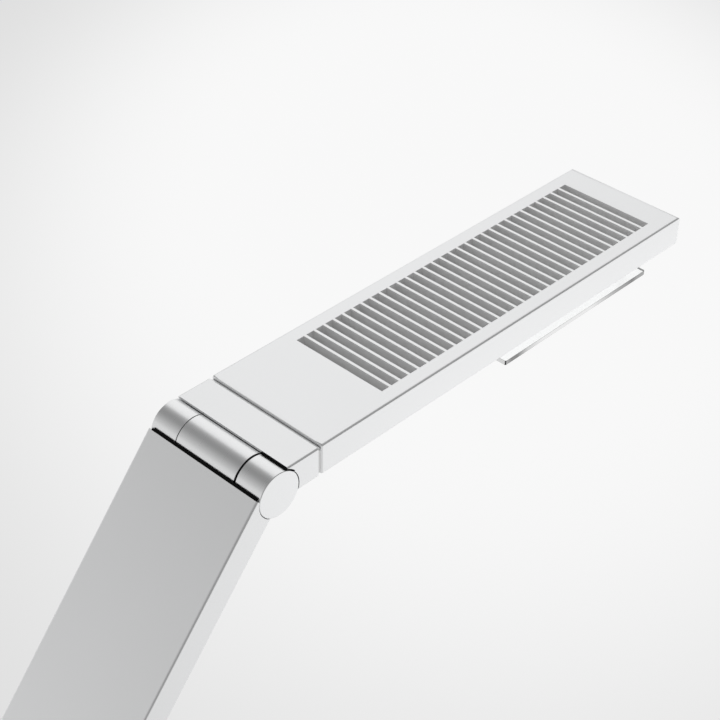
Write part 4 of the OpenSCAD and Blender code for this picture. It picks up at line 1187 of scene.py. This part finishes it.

# ---------------------------------------------------------------------------------------------
# Clear screen: a polished acrylic plate under the light window, with broken edges, held 5.2 mm
# below the head by four turned stand-offs. Its edges are painted as mirrors, with a painted
# reflection that is brighter and darker along their length as light comes through the plate.
screen_low, screen_high = (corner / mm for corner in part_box("clear_screen"))
painted_edge_light_stops = [(0, 0.42), (0.04, 0.22), (0.08, 0.21), (0.15, 0.57), (0.25, 0.74), (0.6, 0.75)]
painted_edge_light_stops += [(0.7, 0.54), (0.78, 0.37), (0.86, 0.3), (0.9, 0.2), (0.94, 0.33), (1, 0.33)]
back_sheen = 0.8
plate_corner_r = 0.8
plate = block("clear_plate", screen_low, screen_high)
round_edges(plate, plate_corner_r, 3, along(2))
for x, y in post_spots:
    foot, top = (joint_x + x, y, screen_low.z - past), (joint_x + x, y, screen_high.z + past)
    cut(plate, rod("post_hole", screw_r + fit_gap, foot, top, 32))
round_edges(plate, rim_r, 2, at(2, screen_low.z, screen_high.z))
clear, shade, sockets = paint_of("clear_acrylic", IOR=1.49, Transmission_Weight=1.0)
polish = grain(shade, 8)
body = tint(shade, polish, (0.965, 0.975, 0.975), (0.985, 0.99, 0.99))
side_y = screen_high.y - skin
sides = shade.part("Y").above(side_y * mm) + shade.part("Y").below(-side_y * mm)
back = shade.part("X").below((screen_low.x + skin) * mm)
front = shade.part("X").above((screen_high.x - skin) * mm)
span = {"From Min": screen_low.x * mm, "From Max": screen_high.x * mm}
along_side = shade.node("MapRange", {}, {"Value": shade.part("X"), **span})
sheen = shade.node("ValToRGB", {"stops": painted_edge_light_stops}, {"Fac": along_side}, "Color")
# Painted reflection: the edges are made metal and take a painted sheen along their length.
edges = sides.either(back).either(front)
edges.feeds(sockets["Metallic"])
mixed(shade, edges, body, sheen.either(back * back_sheen)).feeds(sockets["Base Color"])
(0.015 + polish * 0.02).feeds(sockets["Roughness"])
bump(shade, grain(shade, 20), 0.004).feeds(sockets["Normal"])
fit(finished(plate), clear, "head", "clear_acrylic", "clear_screen")

post_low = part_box("screen_posts")[0].z / mm
post_r = 3
post_rim = 0.3
post_end = 2
post_key_deep = 0.8
stand_off = turned(
    "stand_off",
    [
        (post_r - post_rim, post_low),
        (post_r, post_low + post_rim),
        (post_r, screen_low.z - fit_gap),
        (screw_r, screen_low.z - fit_gap),
        (screw_r, screen_high.z + fit_gap),
        (post_r, screen_high.z + fit_gap),
        (post_r, low.z - fit_gap),
        (screw_r, low.z - fit_gap),
        (screw_r, low.z + cover_t + post_end),
    ],
    48,
)
cut(stand_off, rod("hexagon", key_r, (0, 0, post_low - past), (0, 0, post_low + post_key_deep), 6))
finished(stand_off, 30)
for count, (x, y) in enumerate(post_spots):
    copy = twin(stand_off, f"stand_off_{count + 1}", moved(joint_x + x, y, 0))
    paint = lathe_paint(f"turned_stand_off_{count + 1}", Vector((joint_x + x, y, 0)) * mm, (0, 0, 1))
    fit(copy, paint, "head", "turned_aluminium", "screen_posts")
bpy.data.objects.remove(stand_off)
